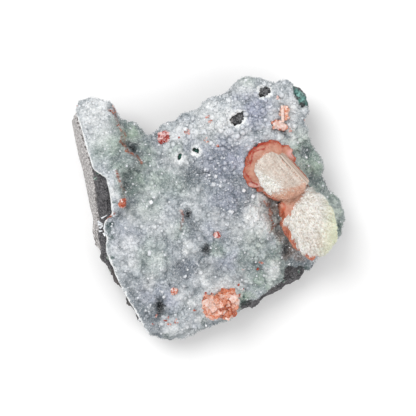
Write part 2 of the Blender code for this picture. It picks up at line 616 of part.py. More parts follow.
def on_crust(group):
    """Blocks of a small group, each height counted from the crust below the middle of the group."""
    middle = np.mean([block[:2] for block in group], axis=0) * MM
    level = float(crust_top(middle[:1], middle[1:])[0]) / MM
    return [block_points(x, y, level + z, *rest) for x, y, z, *rest in group]


def footprint(pieces):
    """The flat convex outline round some blocks, anticlockwise, in metres."""
    corners = sorted({(x, y) for points in pieces for x, y, z in points})
    halves = []
    for ordered in (corners, corners[::-1]):
        half = []
        for spot in ordered:
            while len(half) > 1 and turn_of(half[-2], half[-1], spot) <= 0:
                half.pop()
            half.append(spot)
        halves += half[:-1]
    return polygon(halves)


def turn_of(a, b, c):
    """Positive where the way from a by b to c turns left."""
    return (b[0] - a[0]) * (c[1] - a[1]) - (b[1] - a[1]) * (c[0] - a[0])


def main():
    for old in list(bpy.data.objects):
        bpy.data.objects.remove(old)
    specimen = bpy.data.collections.new("red_apophyllite_specimen")
    cutters = bpy.data.collections.new("cutters")
    cutters.hide_render = True
    bpy.context.scene.collection.children.link(specimen)
    bpy.context.scene.collection.children.link(cutters)
    basalt = material("basalt", (0.10, 0.10, 0.10), 0.85)
    chalcedony = material("chalcedony", (0.42, 0.46, 0.50), 0.45)
    sheaf = material("sheaf crystal", (0.72, 0.50, 0.40), 0.35)
    red = material("red crystal", (0.62, 0.16, 0.06), 0.25)
    blocks = {"red_crystal_cluster": [block_points(*block) for block in RED_CLUSTER]}
    sockets = [
        ("upper_socket", footprint(upper_sheaf()), SEAT_PAIR - GAP),
        ("lower_socket", footprint(lower_sheaf()), SEAT_PAIR - GAP),
    ]
    for name, group in SMALL_GROUPS.items():
        blocks[name] = on_crust(group)
    for name, pieces in blocks.items():
        lowest = min(z for points in pieces for x, y, z in points) * MM
        sockets.append((f"{name}_socket", footprint(pieces), lowest - GAP))
    basalt_matrix(specimen, cutters, basalt)
    chalcedony_crust(specimen, cutters, chalcedony, sockets)
    joined("sheaf_crystal_pair", upper_sheaf() + lower_sheaf(), specimen, cutters, sheaf)
    for name, pieces in blocks.items():
        joined(name, pieces, specimen, cutters, red)


main()
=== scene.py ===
import itertools
import math
from types import SimpleNamespace

import bmesh
import bpy
import numpy as np
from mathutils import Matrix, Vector, kdtree, noise
from mathutils.bvhtree import BVHTree


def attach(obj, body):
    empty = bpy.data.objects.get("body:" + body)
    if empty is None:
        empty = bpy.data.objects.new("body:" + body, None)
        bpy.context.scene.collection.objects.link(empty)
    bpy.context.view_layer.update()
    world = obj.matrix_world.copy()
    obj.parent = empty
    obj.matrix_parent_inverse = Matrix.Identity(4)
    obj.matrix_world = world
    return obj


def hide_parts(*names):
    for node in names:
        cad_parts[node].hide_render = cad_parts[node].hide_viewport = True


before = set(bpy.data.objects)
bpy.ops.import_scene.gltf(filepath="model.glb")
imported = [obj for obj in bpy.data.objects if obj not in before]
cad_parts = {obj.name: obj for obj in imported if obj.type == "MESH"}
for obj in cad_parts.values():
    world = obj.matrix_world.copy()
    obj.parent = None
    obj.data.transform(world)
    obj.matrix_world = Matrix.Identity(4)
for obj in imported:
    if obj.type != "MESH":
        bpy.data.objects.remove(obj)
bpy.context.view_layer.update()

# Metres, +Z up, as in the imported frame. Tables and the sizes beside MM read in millimetres.
MM = 0.001
SEED = 11

# Camera, straight above the plate
CAMERA_PLACE = (0.73 * MM, 0.57 * MM, 747.0 * MM)
CAMERA_SENSOR = 36.0
CAMERA_LENS = 134.9

# Grid of the fine meshes
CRUST_VOXEL = 0.58 * MM
BASALT_VOXEL = 0.62 * MM
SHEAF_VOXEL = 0.34 * MM

# Smooth noise: the step between two seeds, and how its octaves fade and shrink
SEED_STEP = 13.7
OCTAVE_FADE = 0.7
OCTAVE_SHRINK = 2.0

# How far a soft patch shows, as a share of its radius, and the level below which a normal looks down
PATCH_EDGE = 1.35
DOWNWARD = -0.4

# The height that rays start from, above everything
SKY = 0.1

# Patches of tone on the crust, among them painted shade, painted brown shadow and painted shade in pits: x,
# y, radius, strength
LILAC_PATCHES = [
    (22.4, 44.7, 9, 1.0), (15.5, 52.6, 5, 0.7), (8.6, 21.7, 12, 1.0), (10.9, 4.3, 9, 0.8),
    (-36.5, -14.2, 8, 0.7), (-6.6, -27.9, 5, 0.6), (-15.8, -41.8, 6, 0.8), (26.1, 45.3, 5, 0.8),
    (-8.0, 30.0, 6, 0.4), (8.6, -23.4, 6, 0.5), (-44.0, -6.3, 4, 0.5), (-25.0, -39.0, 7, 0.5),
    (14.0, 30.0, 8, 0.6), (4.0, -10.0, 7, 0.4), (32.6, -16.5, 4, 0.4), (31.0, 43.5, 5, 0.6),
]
GREEN_PATCHES = [
    (-45.3, 28.2, 9, 0.5), (-35.2, 35.5, 7, 1.0), (-33.8, 12.5, 8, 0.9), (-25.0, -21.0, 9, 0.4),
    (-13.1, -9.6, 5, 0.4), (54.6, 11.1, 8, 1.0), (60.5, 2.0, 8, 1.0), (48.6, 27.3, 7, 0.9),
    (41.7, 31.9, 7, 0.6), (23.7, -30.2, 7, 0.5), (-22.0, 13.0, 8, 0.6), (18.0, 60.0, 6, 0.6),
    (-13.0, 12.0, 8, 0.4), (5.0, -19.0, 5, 0.6), (-28.0, 2.0, 8, 0.5), (20.0, -24.0, 7, 0.5),
    (-14.0, 27.0, 5, 0.5), (62.0, -10.0, 7, 1.0), (-40.0, 30.0, 9, 0.8), (-30.0, 24.0, 8, 0.7),
    (48.0, 20.0, 8, 0.9), (40.0, 4.0, 6, 0.4), (28.0, -2.0, 8, 0.6), (33.0, -22.0, 8, 0.6),
    (22.0, -14.0, 7, 0.6), (-25.0, -28.0, 6, 0.3), (-38.0, 20.0, 6, 0.7), (30.0, -6.0, 5, 0.9),
    (36.0, -14.0, 5, 0.6), (26.0, -33.0, 6, 0.8), (35.0, -30.0, 5, 0.8), (17.0, -42.0, 6, 1.0),
    (12.0, -50.0, 5, 0.8), (54.0, 18.0, 6, 1.0), (47.0, 32.0, 6, 0.9), (43.0, 27.0, 6, 0.8),
    (50.0, 25.0, 8, 1.0), (32.0, -36.0, 6, 1.0), (-38.0, 38.0, 6, 0.8), (60.0, 5.0, 8, 1.0),
]
PALE_PATCHES = [
    (-51.4, 43.5, 9, 0.75), (-12.2, 21.8, 5, 0.7), (7.2, 41.5, 8, 0.8), (22.8, -5.0, 9, 0.9),
    (30.7, -29.0, 5, 0.7), (6.3, -39.5, 10, 0.7), (8.6, 36.5, 5, 0.6), (-9.0, -17.9, 4, 0.8),
    (-34.8, -24.8, 5, 0.6), (-0.2, -30.3, 6, 0.8), (-26.5, -33.1, 4, 0.8), (-12.2, -40.0, 4, 0.7),
    (-16.3, -57.1, 5, 0.6), (-31.0, -3.0, 8, 0.5), (-48.0, 36.0, 8, 0.6), (-43.0, 8.0, 3, 0.8),
    (-6.0, 4.0, 6, 0.3), (20.0, -13.0, 6, 0.5), (40.0, 46.0, 6, 0.7), (38.0, 36.0, 5, 0.7),
    (32.0, 43.0, 5, 0.5), (28.0, 36.0, 4, 0.3), (9.0, -4.0, 5, 0.5), (12.0, -51.5, 4, 0.8),
    (-8.0, -56.5, 4, 0.7), (-52.0, 34.0, 6, 0.4), (46.0, 36.0, 4, 0.6), (24.0, 2.0, 5, 0.6),
    (0.0, 46.0, 7, 0.7), (16.0, 33.0, 5, 0.5), (-24.0, -24.0, 5, 0.2), (2.0, -33.0, 5, 0.5),
    (30.0, 58.0, 5, 0.4), (36.0, 50.0, 4, 0.5), (54.0, 6.0, 5, 0.3), (13.0, 57.0, 6, 0.7),
    (-1.0, 35.0, 7, 0.6), (-17.5, 21.0, 4, 0.6), (-22.0, -7.0, 7, 0.5), (-37.0, -16.5, 7, 0.7),
    (-27.0, 8.0, 6, 0.3), (6.0, -4.0, 6, 0.5), (15.0, -9.5, 6, 0.6), (15.0, -35.0, 4, 0.7),
    (-6.5, -43.0, 5, 0.6), (60.7, 1.5, 5, 0.4), (4.0, 39.0, 5, 0.8), (-1.5, -50.0, 4, 0.8),
    (31.5, -34.5, 4, 0.6), (13.0, -7.0, 5, 0.5), (59.5, -18.0, 4, 0.6), (57.0, 20.5, 4, 0.6),
    (18.0, 56.0, 5, 0.6), (-12.0, 35.0, 5, 0.6), (-2.0, -42.5, 4, 0.5),
]
SHADE_PATCHES = [
    (-13.1, -24.8, 3.5, 0.6), (-32.5, -36.8, 4, 0.6), (0.3, -18.8, 2.6, 1.0), (-8.0, -2.0, 2.6, 1.0),
    (-35.0, 27.6, 3, 0.8), (-27.4, 19.9, 4, 0.4), (-36.0, 12.5, 5, 0.4), (-0.7, 16.7, 3.5, 0.8),
    (-17.7, 12.6, 4, 0.4), (4.9, 19.5, 6, 0.5), (-35.7, 3.7, 3.5, 0.6), (10.0, 29.2, 4, 0.5),
    (35.8, 34.7, 2.4, 0.9), (45.0, 26.4, 3, 0.8), (51.0, 13.9, 4, 0.6), (11.3, 1.5, 9, 0.5),
    (18.3, -26.2, 3, 0.6), (-21.4, -45.4, 3, 1.0), (37.5, -18.5, 4, 0.9), (29.5, 2.5, 4, 0.6),
    (31.0, -5.0, 3, 0.6), (46.0, 20.0, 3, 0.4), (-1.0, 10.0, 6, 0.3), (-34.0, 23.0, 6, 0.7),
    (-6.7, 15.6, 7, 1.0), (-2.0, 19.0, 5, 0.5), (9.5, 15.5, 6, 0.6), (16.0, 10.0, 4, 0.6),
    (-6.5, -12.0, 4, 0.5), (-1.0, -24.0, 4, 0.7), (4.5, -29.0, 5, 0.8), (-12.5, -28.5, 6, 1.0),
    (-27.0, -51.0, 7, 0.8), (-21.0, -46.0, 5, 0.5), (23.0, -26.0, 6, 0.5), (39.0, -14.0, 5, 0.9),
    (-28.5, -32.0, 3, 0.5), (-40.0, -38.0, 3, 0.5), (30.5, 13.0, 3, 0.5), (-32.0, -41.0, 6, 0.6),
    (15.5, 12.5, 5, 0.8), (4.0, 15.0, 5, 0.5), (-39.5, 24.0, 4, 0.6), (-24.0, 31.5, 4, 0.6),
    (39.0, -22.0, 4, 0.9), (-39.0, 36.0, 3, 0.4), (-38.5, -34.5, 5, 0.7), (-34.0, -39.0, 5, 0.7),
    (-24.0, -55.5, 5, 0.8), (-19.0, -50.0, 5, 0.4), (-6.6, -5.5, 4, 0.8), (-6.6, -28.5, 4, 0.9),
    (20.5, 8.0, 4, 0.7), (-4.0, 22.5, 6, 0.5), (44.0, -23.5, 4.5, 0.9), (49.0, -27.0, 4, 0.5),
    (-41.0, 37.0, 5, 0.5), (13.0, -27.0, 5, 0.25), (54.0, 11.0, 4, 0.5), (-45.0, -8.0, 3, 0.9),
    (5.0, 24.0, 5, 0.4), (-13.0, -34.0, 5, 0.4), (40.0, -26.0, 5, 0.5),
]
# Painted brown shadow in the valley beside the sheaf pair and below its lower edge: x, y, radius, strength
BROWN_SHADOW_PATCHES = [
    (28.5, 3.6, 2.4, 0.8), (30.4, -0.6, 2.4, 0.8), (31.8, 2.0, 2.6, 1.0), (32.4, -2.5, 1.7, 0.9),
    (33.0, -7.0, 1.8, 0.9), (34.0, -11.5, 2.2, 0.9), (37.4, -16.0, 2.6, 0.9), (40.0, -19.0, 3.0, 1.0),
    (44.0, -22.0, 2.4, 0.9), (27.0, 6.2, 1.4, 0.6), (37.6, -21.0, 2.4, 0.7),
]
# Painted shade in pits and dark hollows of the crust: x, y, radius, strength
PAINTED_PIT_SHADE = [
    (-8.0, -2.2, 1.7, 0.95), (0.3, -18.8, 1.7, 0.95), (-21.4, -45.4, 2.6, 1.0), (-34.9, 28.2, 1.3, 0.8),
    (-36.8, 11.0, 1.6, 0.4), (-0.7, 16.7, 1.4, 0.5), (35.8, 34.7, 1.4, 0.7), (-13.1, -24.8, 1.6, 0.4),
    (36.0, -17.5, 1.6, 0.7), (24.6, -28.2, 1.4, 0.6), (33.6, 25.8, 0.8, 0.6), (29.0, 1.5, 1.2, 0.35),
]


def srgb(red, green, blue):
    """A colour picked on screen, from 0 to 255, as the linear values that shaders take."""
    shares = [value / 255.0 for value in (red, green, blue)]
    linear = [s / 12.92 if s <= 0.04045 else ((s + 0.055) / 1.055) ** 2.4 for s in shares]
    return (*linear, 1.0)


def eased(t):
    """A smooth step from 0 to 1."""
    t = np.clip(t, 0.0, 1.0)
    return t * t * (3.0 - 2.0 * t)


def outline(points):
    """A table of points as an array in metres."""
    return np.array(points, float)[:, :2] * MM


def line_distance(x, y, table, closed=False):
    """Distance from each place to the line through a table of points."""
    points = outline(table)
    ends = list(zip(points, points[1:]))
    if closed:
        ends.append((points[-1], points[0]))
    nearest = np.full(np.shape(x), 1.0)
    for (ax, ay), (bx, by) in ends:
        dx, dy = bx - ax, by - ay
        along = np.clip(((x - ax) * dx + (y - ay) * dy) / (dx * dx + dy * dy), 0.0, 1.0)
        nearest = np.minimum(nearest, np.hypot(x - ax - along * dx, y - ay - along * dy))
    return nearest


def depth_inside(x, y, table):
    """How far each place lies inside the closed outline of a table of points, negative outside."""
    points = outline(table)
    found = np.zeros(np.shape(x), bool)
    for (ax, ay), (bx, by) in zip(points, np.roll(points, -1, axis=0)):
        crosses = (ay > y) != (by > y)
        rise = by - ay if by != ay else 1e-12
        found ^= crosses & (x < (bx - ax) * (y - ay) / rise + ax)
    return line_distance(x, y, table, closed=True) * np.where(found, 1.0, -1.0)


def patches(x, y, table):
    """The strongest of some soft round patches at each place, from 0 to 1."""
    found = np.zeros(np.shape(x))
    for px, py, radius, strength in table:
        reach = np.hypot(x - px * MM, y - py * MM) / (radius * MM)
        found = np.maximum(found, strength * eased(PATCH_EDGE - reach))
    return found


def rough(points, size, octaves=1, seed=0):
    """Smooth noise from -1 to 1 at each point, with features of the size given."""
    shift = seed * SEED_STEP
    places = (points / size + shift).tolist()
    if octaves == 1:
        return np.array([noise.noise(place) for place in places])
    return np.array([noise.fractal(place, OCTAVE_FADE, OCTAVE_SHRINK, octaves) for place in places])


def points_of(mesh):
    """The vertices of a mesh as an array."""
    flat = np.empty(len(mesh.vertices) * 3, np.float32)
    mesh.vertices.foreach_get("co", flat)
    return flat.reshape(-1, 3).astype(float)


def normals_of(mesh):
    """The vertex normals of a mesh as an array."""
    flat = np.empty(len(mesh.vertices) * 3, np.float32)
    mesh.vertex_normals.foreach_get("vector", flat)
    return flat.reshape(-1, 3).astype(float)


def edges_of(mesh):
    """The edges of a mesh as pairs of vertex numbers."""
    flat = np.empty(len(mesh.edges) * 2, np.int32)
    mesh.edges.foreach_get("vertices", flat)
    return flat.reshape(-1, 2)


def put_points(mesh, points):
    """Moves the vertices of a mesh."""
    mesh.vertices.foreach_set("co", points.astype(np.float32).ravel())
    mesh.update()


def mark_all(mesh, marks):
    """Stores numbers from 0 to 1, one a vertex, under the names that materials read."""
    for name, values in marks.items():
        layer = mesh.attributes.new(name, "FLOAT", "POINT")
        layer.data.foreach_set("value", np.clip(values, 0.0, 1.0).astype(np.float32))


def relaxed(values, edges, rounds, hold=None):
    """Values evened out along the edges. Where hold is 1 they stay as they are."""
    count = len(values)
    first, second = edges[:, 0], edges[:, 1]
    ends = np.concatenate([first, second])
    others = np.concatenate([second, first])
    number = np.maximum(np.bincount(ends, minlength=count), 1)[:, None]
    moved = values.copy()
    free = 1.0 if hold is None else (1.0 - hold)[:, None]
    for _ in range(rounds):
        mean = np.stack(
            [np.bincount(ends, weights=moved[others, axis], minlength=count) for axis in range(3)], axis=1
        )
        moved += 0.5 * free * (mean / number - moved)
    return moved


def evaluated(made):
    """The object with its modifiers applied."""
    graph = bpy.context.evaluated_depsgraph_get()
    mesh = bpy.data.meshes.new_from_object(made.evaluated_get(graph))
    made.modifiers.clear()
    made.data = mesh
    return made


def piece(name, mesh):
    """A new object in the scene."""
    made = bpy.data.objects.new(name, mesh)
    bpy.context.scene.collection.objects.link(made)
    return made


def fine_copy(node, name, voxel, under_keep=None):
    """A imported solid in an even, fine mesh. Faces that look down are thinned out to the share given."""
    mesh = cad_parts[node].data.copy()
    mesh.materials.clear()
    made = piece(name, mesh)
    step = made.modifiers.new("voxels", "REMESH")
    step.mode = "VOXEL"
    step.voxel_size = voxel
    evaluated(made)
    if under_keep is None:
        return made
    downward = np.flatnonzero(normals_of(made.data)[:, 2] < DOWNWARD)
    group = made.vertex_groups.new(name="under")
    group.add(downward.tolist(), 1.0, "REPLACE")
    fewer = made.modifiers.new("fewer faces below", "DECIMATE")
    fewer.vertex_group = "under"
    fewer.ratio = under_keep
    evaluated(made)
    made.vertex_groups.clear()
    return made


class HeightMap:
    """The height of a surface seen from above, blurred by a width, for telling hollows from humps."""

    CELL = 0.8 * MM
    MARGIN = 12 * MM

    def __init__(self, points, width):
        self.low = points[:, :2].min(axis=0) - self.MARGIN
        span = points[:, :2].max(axis=0) + self.MARGIN - self.low
        shape = np.ceil(span / self.CELL).astype(int) + 1
        cells = ((points[:, :2] - self.low) / self.CELL).round().astype(int)
        top = np.full(shape, -1.0)
        np.maximum.at(top, (cells[:, 0], cells[:, 1]), points[:, 2])
        known = (top > 0).astype(float)
        weight = self.blurred(known, width)
        level = self.blurred(np.where(known > 0, top, 0.0), width)
        self.heights = level / np.maximum(weight, 1e-6)

    def blurred(self, field, width):
        """A Gaussian blur by way of the frequency plane."""
        fx = np.fft.fftfreq(field.shape[0], self.CELL)[:, None]
        fy = np.fft.rfftfreq(field.shape[1], self.CELL)[None, :]
        fade = np.exp(-2.0 * (math.pi * width) ** 2 * (fx * fx + fy * fy))
        return np.fft.irfft2(np.fft.rfft2(field) * fade, s=field.shape)

    def at(self, x, y):
        """The blurred height below or above each place."""
        u = np.clip((x - self.low[0]) / self.CELL, 0, self.heights.shape[0] - 1.001)
        v = np.clip((y - self.low[1]) / self.CELL, 0, self.heights.shape[1] - 1.001)
        i, j = u.astype(int), v.astype(int)
        s, t = u - i, v - j
        h = self.heights
        near = h[i, j] * (1 - t) + h[i, j + 1] * t
        far = h[i + 1, j] * (1 - t) + h[i + 1, j + 1] * t
        return near * (1 - s) + far * s


def lumps(points, spacing, chance):
    """Round lumps side by side: each place's height in its lump, its share of the way in, and a tone."""
    wander = np.column_stack([rough(points, spacing * 0.6, 2, seed) for seed in (41, 42, 43)])
    warped = points + wander * spacing * 0.3
    centres = points[spread_out(points, np.full(len(points), spacing), chance)]
    tree = tree_of(centres)
    pairs = [tree.find_n(place, 2) for place in warped.tolist()]
    first = np.array([pair[0][2] for pair in pairs])
    second = np.array([pair[1][2] for pair in pairs])
    own = chance.uniform(0.0, 1.0, len(centres))[[pair[0][1] for pair in pairs]]
    inner = eased((second - first) / (0.5 * spacing))
    height = np.sqrt(np.clip(1.0 - (first / (0.95 * spacing)) ** 2, 0.0, 1.0))
    return SimpleNamespace(height=height * (0.4 + 0.6 * inner) * (0.6 + 0.4 * own), inner=inner, tone=own)


def unit(vectors):
    """Vectors scaled to a length of 1."""
    return vectors / np.maximum(np.linalg.norm(vectors, axis=-1, keepdims=True), 1e-12)


def frames_about(axes, chance, tilt):
    """Three axes for each copy: the last along the axis given, tilted and turned at random."""
    third = unit(axes + chance.normal(0.0, tilt, axes.shape))
    first = chance.normal(size=axes.shape)
    first = unit(first - np.sum(first * third, axis=1, keepdims=True) * third)
    return np.stack([first, np.cross(third, first), third], axis=2)


def tree_of(places):
    """A search tree over an array of points."""
    tree = kdtree.KDTree(len(places))
    for number, place in enumerate(places.tolist()):
        tree.insert(place, number)
    tree.balance()
    return tree


def spread_out(places, spacing, chance):
    """Numbers of places taken in random order, none closer to an earlier one than its spacing."""
    tree = tree_of(places)
    free = np.ones(len(places), bool)
    chosen = []
    for number in chance.permutation(len(places)).tolist():
        if free[number]:
            chosen.append(number)
            free[[found[1] for found in tree.find_range(places[number], spacing[number])]] = False
    return np.array(chosen)


def joined(name, form, frames, sizes, centres, marks, material, smooth=False):
    """One mesh of many copies of a small closed form, each with its own axes, size and marks."""
    template, faces = form
    copies, corners = len(centres), len(template)
    local = template[None, :, :] * sizes[:, None, :]
    world = np.einsum("nij,nvj->nvi", frames, local) + centres[:, None, :]
    loops = np.concatenate([np.array(face) for face in faces])
    loops = (loops[None, :] + (np.arange(copies) * corners)[:, None]).ravel()
    counts = np.tile([len(face) for face in faces], copies)
    mesh = bpy.data.meshes.new(name)
    mesh.vertices.add(copies * corners)
    mesh.vertices.foreach_set("co", world.astype(np.float32).ravel())
    mesh.loops.add(len(loops))
    mesh.loops.foreach_set("vertex_index", loops.astype(np.int32))
    mesh.polygons.add(len(counts))
    mesh.polygons.foreach_set("loop_start", (np.cumsum(counts) - counts).astype(np.int32))
    mesh.polygons.foreach_set("use_smooth", np.full(len(counts), smooth))
    mesh.update(calc_edges=True)
    spread = {
        label: np.repeat(values, corners) if len(values) == copies else values
        for label, values in marks.items()
    }
    mark_all(mesh, spread)
    mesh.materials.append(material)
    return piece(name, mesh)


def dome(sides):
    """A round cap of radius 1, closed below, with its base ring last."""
    points = [(0.0, 0.0, 1.0)]
    for reach, height, turn in ((0.62, 0.76, 0.0), (1.0, 0.06, 0.5)):
        for step in range(sides):
            angle = 2.0 * math.pi * (step + turn) / sides
            points.append((reach * math.cos(angle), reach * math.sin(angle), height))
    faces = []
    for step in range(sides):
        here, after = 1 + step, 1 + (step + 1) % sides
        faces.append((0, here, after))
        faces.append((here, here + sides, after))
        faces.append((after, here + sides, after + sides))
    faces.append(tuple(range(2 * sides, sides, -1)))
    return np.array(points), faces


def quartz_point():
    """A three-sided crystal point on a closed base."""
    points = [(0.0, 0.0, 1.0)]
    for step in range(3):
        angle = 2.0 * math.pi * step / 3.0
        points.append((0.5 * math.cos(angle), 0.5 * math.sin(angle), -0.35))
    return np.array(points), [(0, 1, 2), (0, 2, 3), (0, 3, 1), (3, 2, 1)]


def blade():
    """A flat crystal along X with a chisel end: length 1, width 1, thickness 1."""
    points = np.array([
        (0.0, -0.5, -0.5), (0.0, 0.5, -0.5), (0.0, 0.5, 0.5), (0.0, -0.5, 0.5),
        (1.0, -0.18, 0.0), (1.0, 0.18, 0.0),
    ])
    return points, [(3, 2, 1, 0), (0, 1, 5, 4), (2, 3, 4, 5), (1, 2, 5), (3, 0, 4)]


def blocky_crystal(cut):
    """A cube of side 2 with its corners cut off, the share of an edge that the cut takes given."""
    made = bmesh.new()
    for corner in itertools.product((-1, 1), repeat=3):
        for axis in range(3):
            place = list(corner)
            place[axis] *= 1.0 - 2.0 * cut
            made.verts.new(place)
    bmesh.ops.convex_hull(made, input=made.verts)
    bmesh.ops.dissolve_limit(made, angle_limit=0.02, verts=made.verts, edges=made.edges)
    made.verts.index_update()
    bmesh.ops.recalc_face_normals(made, faces=made.faces)
    found = np.array([vertex.co[:] for vertex in made.verts])
    faces = [tuple(vertex.index for vertex in face.verts) for face in made.faces]
    made.free()
    return found, faces


class Nodes:
    """Short ways to add and link shader nodes in one material."""

    def __init__(self, name):
        self.material = bpy.data.materials.new(name)
        self.material.use_nodes = True
        self.tree = self.material.node_tree
        self.shader = self.tree.nodes["Principled BSDF"]

    def put(self, kind, inputs=(), **settings):
        """A node with its settings and its inputs, which are values or sockets."""
        node = self.tree.nodes.new(kind)
        for key, value in settings.items():
            setattr(node, key, value)
        for key, value in dict(inputs).items():
            self.feed(node.inputs[key], value)
        return node

    def feed(self, socket, value):
        """Links a socket to a socket, or sets its value."""
        if isinstance(value, bpy.types.NodeSocket):
            self.tree.links.new(value, socket)
        else:
            socket.default_value = value

    def marked(self, name, share=1.0):
        """The number that the mesh stores under a name, or a share of it."""
        value = self.put("ShaderNodeAttribute", attribute_name=name).outputs["Fac"]
        return value if share == 1.0 else self.maths("MULTIPLY", value, share)

    def place(self):
        """Coordinates in the piece's own space, in metres."""
        return self.put("ShaderNodeTexCoord").outputs["Object"]

    def noise(self, size, detail=3.0, roughness=0.55, distortion=0.0, stretch=None):
        """Noise from 0 to 1 with features of the size given."""
        where = self.place()
        if stretch is not None:
            where = self.put("ShaderNodeMapping", {"Vector": where, "Scale": stretch}).outputs["Vector"]
        return self.put(
            "ShaderNodeTexNoise",
            {"Vector": where, "Scale": 1.0 / size, "Detail": detail, "Roughness": roughness,
             "Distortion": distortion},
        ).outputs["Fac"]

    def cells(self, size):
        """Scattered cells of the size given: the distance to the middle of each, and a random grey."""
        node = self.put("ShaderNodeTexVoronoi", {"Vector": self.place(), "Scale": 1.0 / size})
        grey = self.put("ShaderNodeSeparateColor", {"Color": node.outputs["Color"]}).outputs["Red"]
        return node.outputs["Distance"], grey

    def ranged(self, value, low, high, to_low=0.0, to_high=1.0):
        """A value moved from one range to another and held inside it."""
        return self.put(
            "ShaderNodeMapRange",
            {"Value": value, "From Min": low, "From Max": high, "To Min": to_low, "To Max": to_high},
        ).outputs["Result"]

    def maths(self, operation, first, second):
        """One sum on two values."""
        return self.put("ShaderNodeMath", {0: first, 1: second}, operation=operation).outputs["Value"]

    def mixed(self, share, first, second):
        """Two colours mixed by a share. A colour is a socket, or red, green and blue as picked on screen."""
        node = self.put("ShaderNodeMix", {"Factor": share}, data_type="RGBA")
        for number, colour in ((6, first), (7, second)):
            self.feed(node.inputs[number], srgb(*colour) if isinstance(colour, tuple) else colour)
        return node.outputs[2]

    def layered(self, colour, layers):
        """A colour with others laid over it in turn, each by a share of a mark that the mesh stores."""
        for name, share, tone in layers:
            colour = self.mixed(self.marked(name, share), colour, tone)
        return colour

    def bump(self, height, distance, strength=1.0):
        """A bump from a height."""
        inputs = {"Height": height, "Distance": distance, "Strength": strength}
        return self.put("ShaderNodeBump", inputs).outputs["Normal"]

    def finish(self, **inputs):
        """Feeds the shader's inputs, whose names are written with underscores."""
        for key, value in inputs.items():
            self.feed(self.shader.inputs[key.replace("_", " ")], value)
        return self.material


# Crust

CRUST_SMOOTH_ROUNDS = 14
PLATEAU = [
    (-10, 44), (2, 52), (14, 59), (27, 60), (40, 58), (44, 46), (46, 38), (36, 36), (20, 34), (16, 22),
    (18, 10), (8, 8), (-4, 14), (-14, 24), (-20, 36),
]
SAWN_EDGE = [
    (-60.2, 45.0), (-57.5, 37.0), (-54.9, 28.4), (-51.8, 17.9), (-45.9, 14.3), (-43.8, 4.2), (-43.4, -1.7),
    (-47.2, -5.4), (-47.8, -9.6), (-46.0, -13.8), (-47.0, -18.4), (-45.6, -22.1), (-41.0, -33.3),
    (-35.1, -44.6), (-27.3, -58.2),
]
SEAM_TOP = [(-44.5, 45.2), (-43.6, 44.6), (-42.4, 43.8), (-42.5, 46.0)]
SEAM_OUTER = [
    (-42.4, 43.8), (-42.1, 43.1), (-41.1, 40.2), (-39.5, 37.5), (-37.6, 34.9), (-37.1, 33.0), (-37.9, 31.2),
]
SEAM_INNER = [(-41.1, 38.6), (-39.6, 36.8), (-38.9, 35.4), (-38.6, 33.4), (-38.7, 32.0)]
SEAM_STRONG = [
    (-39.2, 30.9), (-38.0, 29.4), (-36.8, 28.2), (-36.4, 26.6), (-35.8, 25.6), (-34.8, 25.8), (-33.6, 25.1),
    (-32.0, 24.0), (-30.7, 22.4), (-29.8, 21.2),
]
SEAM_LOWER = [(-41.0, 17.5), (-40.0, 13.4), (-38.2, 8.8), (-37.3, 4.2), (-37.7, 0.6)]
SPLINTER_SEAM = [(-47.6, -5.6), (-45.2, -4.2), (-43.6, -2.6), (-42.3, -1.7)]
PIT_SEAM = [(-11.6, -1.0), (-10.7, -3.6), (-11.4, -6.4), (-12.0, -9.0)]
BUMP_SEAM = [(26.5, 3.3), (28.5, 1.7), (29.2, -1.0), (29.3, -4.2), (30.9, -7.8), (29.3, -10.1)]
SEAMS = [
    (SEAM_TOP, 0.45, 1.0, 26), (SEAM_OUTER, 0.3, 0.9, 16), (SEAM_INNER, 0.25, 0.7, 6),
    (SEAM_STRONG, 0.5, 1.0, 42), (SEAM_LOWER, 0.4, 0.7, 16), (SPLINTER_SEAM, 0.4, 0.9, 14),
    (PIT_SEAM, 0.4, 0.6, 2), (BUMP_SEAM, 0.5, 0.8, 3),
]
TEAL_SPOTS = [
    (-48.2, -12.2, 1.4, 1.0), (-46.6, -16.0, 1.6, 0.9), (-44.0, -22.5, 1.4, 0.8), (-43.2, -26.5, 1.2, 1.0),
    (-41.5, -29.5, 1.0, 0.9), (-45.0, -7.2, 2.8, 1.0), (-45.2, -11.8, 2.2, 0.9), (61.0, -9.0, 2.2, 0.9),
    (17.0, -41.5, 2.0, 0.9), (43.0, -25.0, 1.2, 0.8), (46.5, -26.5, 1.2, 0.8), (-46.6, 13.2, 1.0, 0.8),
    (-42.5, 2.0, 0.9, 0.8), (57.0, -15.0, 2.0, 0.5), (-18.0, -59.0, 2.0, 0.7), (-1.0, -52.5, 2.0, 0.7),
]
CORNER_EDGE = [(39.9, 58.0), (40.3, 55.5), (40.4, 53.4), (41.2, 51.2), (43.0, 48.6), (45.2, 46.6)]
WINDOW_SPOTS = [(14.3, 41.4, 3.3), (26.6, 53.8, 2.8), (-12.2, 24.1, 1.7), (-4.6, 26.9, 1.8)]
LOBE = (-50.0, 34.0, 12.0, 20.0)
COLLAR_FOOT = [
    (22.0, 10.5), (18.5, 12.5), (16.8, 16.5), (17.6, 20.0), (18.2, 25.0), (20.0, 28.6), (25.0, 31.6),
    (31.6, 31.9), (35.5, 30.8), (38.4, 27.0), (40.0, 23.3), (36.0, 18.0), (26.0, 16.0),
]
COLLAR_RISE = 3.2 * MM
COLLAR_RISE_WIDTH = 4.5 * MM
CLUSTER_HALO = (6.6, -43.0, 9.5)
HALO_RISE = 1.3 * MM
CONTACT_REACH = 2.4 * MM
COARSE_LUMPS = (8.5 * MM, 1.7 * MM)
FINE_LUMPS = (3.7 * MM, 1.0 * MM)
LUMP_LEVEL = 0.55
WINDOW_RAGGED = 0.7 * MM
